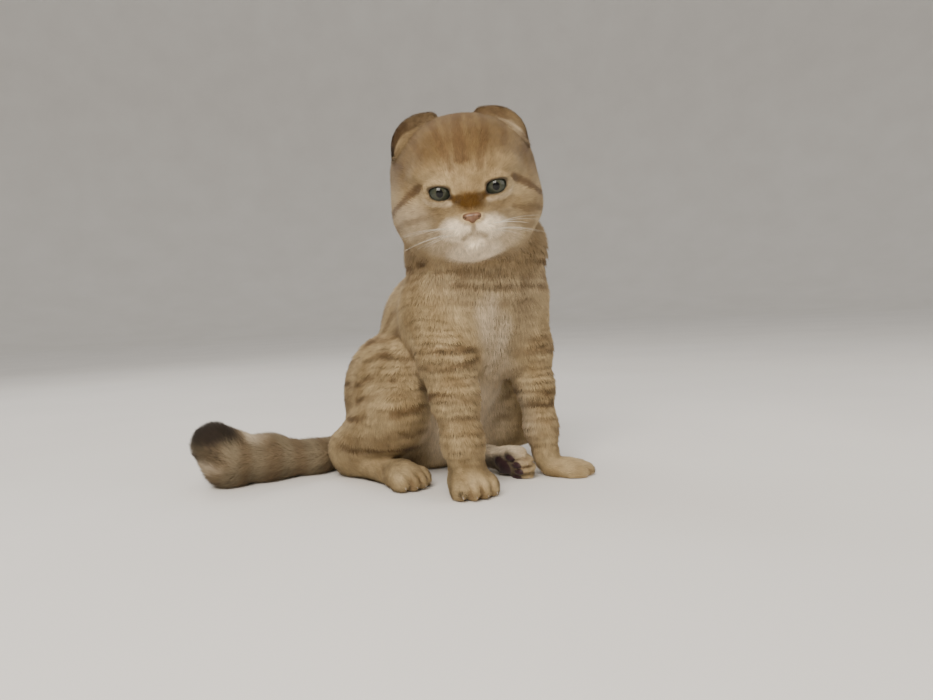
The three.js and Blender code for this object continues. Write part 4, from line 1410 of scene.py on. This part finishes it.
FLESH = [
    "head", "neck", "trunk", "tail_base", "tail_middle", "tail_tip", "ear_right", "ear_left",
    *(f"{end}_{part}_{side}" for side in ("right", "left") for end, part in (
        ("front", "leg"), ("front", "paw"), ("hind", "leg"), ("hind", "foot"), ("hind", "paw"))),
]
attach(skin, "root")
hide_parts(*FLESH)
for piece in grow_coat(surface, unwraps, fur):
    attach(piece, "root")

glass = eye_material()
for word, side in SIDES:
    eye = make_eye(word, side, glass)
    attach(eye, "root")
    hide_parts(f"eye_{word}")
nose = make_nose(nose_material())
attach(nose, "root")
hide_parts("nose")
horn = claw_material()
for name in PAWS:
    claws = make_claws(name, horn)
    end, side_word = name.split("_")
    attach(claws, "root")
    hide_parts(*(f"{end}_claw_{side_word}_{number}" for number in range(1, 5)))
whiskers = make_whiskers(whisker_material())
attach(whiskers, "root")


# Floor, light and camera.

def make_floor():
    """A pale floor that sweeps up into a backdrop, far enough off to stand behind every view."""
    reach, rise, bend = 9.0, 7.0, 3.0
    turns = np.linspace(0, math.pi / 2, 13)
    profile = [(0.0, 0.0), (reach - bend, 0.0)]
    profile += [(reach - bend + bend * math.sin(a), bend - bend * math.cos(a)) for a in turns[1:]]
    profile.append((reach, rise))
    rings = 64
    circle = np.arange(rings) * 2 * math.pi / rings
    radius, height = np.array(profile).T
    radius = np.maximum(radius, 0.001)
    ring = np.stack([np.cos(circle), np.sin(circle), np.ones(rings)], axis=-1)
    points = np.stack([radius, radius, height], axis=-1)[:, None] * ring[None]
    points = points.reshape(-1, 3) * 1000 + ORIGIN
    floor = mesh_object("floor", points, grid_faces(len(profile), rings), floor_material())


def area_light(name, place, target, size, watts, colour):
    light = bpy.data.lights.new(name, "AREA")
    light.shape = "RECTANGLE"
    light.size, light.size_y = size
    light.energy = watts
    light.color = colour
    lamp = bpy.data.objects.new(name, light)
    lamp.location = place
    way = np.array(target) - np.array(place)
    lamp.rotation_euler = Vector(way).to_track_quat("-Z", "Y").to_euler()
    bpy.context.scene.collection.objects.link(lamp)


# The camera stands where the photograph's did.
CAMERA_PLACE = (-0.3321, -0.5666, 0.158)
CAMERA_RIGHT = (0.809, -0.588, 0.0)
CAMERA_AHEAD = (0.588, 0.809, 0.0)
CAMERA_PITCH = 3.27  # degrees down
CAMERA_ROLL = 0.05  # radians
FOCAL_PIXELS = 700.0
PHOTO_WIDTH = 933
SENSOR = 36.0


def make_camera():
    pitch = math.radians(CAMERA_PITCH)
    right, ahead = np.array(CAMERA_RIGHT), np.array(CAMERA_AHEAD)
    up = ahead * math.sin(pitch) + np.array([0, 0, math.cos(pitch)])
    x_axis = unit((math.cos(CAMERA_ROLL) * right - math.sin(CAMERA_ROLL) * up)[None])[0]
    y_axis = unit((math.sin(CAMERA_ROLL) * right + math.cos(CAMERA_ROLL) * up)[None])[0]
    z_axis = np.cross(x_axis, y_axis)
    data = bpy.data.cameras.new("camera")
    data.sensor_width = SENSOR
    data.lens = FOCAL_PIXELS * SENSOR / PHOTO_WIDTH
    data.clip_start = 0.01
    camera = bpy.data.objects.new("camera", data)
    matrix = np.eye(4)
    matrix[:3, 0], matrix[:3, 1], matrix[:3, 2], matrix[:3, 3] = x_axis, y_axis, z_axis, CAMERA_PLACE
    camera.matrix_world = Matrix(matrix.tolist())
    bpy.context.scene.collection.objects.link(camera)
    bpy.context.scene.camera = camera


make_floor()
make_camera()
area_light("key", (-1.15, -1.15, 1.35), (0.0, -0.06, 0.17), (1.1, 1.1), 54, (1.0, 0.93, 0.84))
area_light("fill", (1.1, -1.3, 0.9), (0.0, 0, 0.15), (1.4, 1.2), 10, (1.0, 0.95, 0.89))
area_light("back", (-0.3, 1.5, 1.4), (0, 0, 0.2), (1.2, 0.8), 12, (1.0, 0.97, 0.93))
world = bpy.data.worlds.new("studio")
bpy.context.scene.world = world
world.use_nodes = True
background = world.node_tree.nodes["Background"].inputs
background["Color"].default_value = (0.88, 0.86, 0.83, 1)
background["Strength"].default_value = 0.85
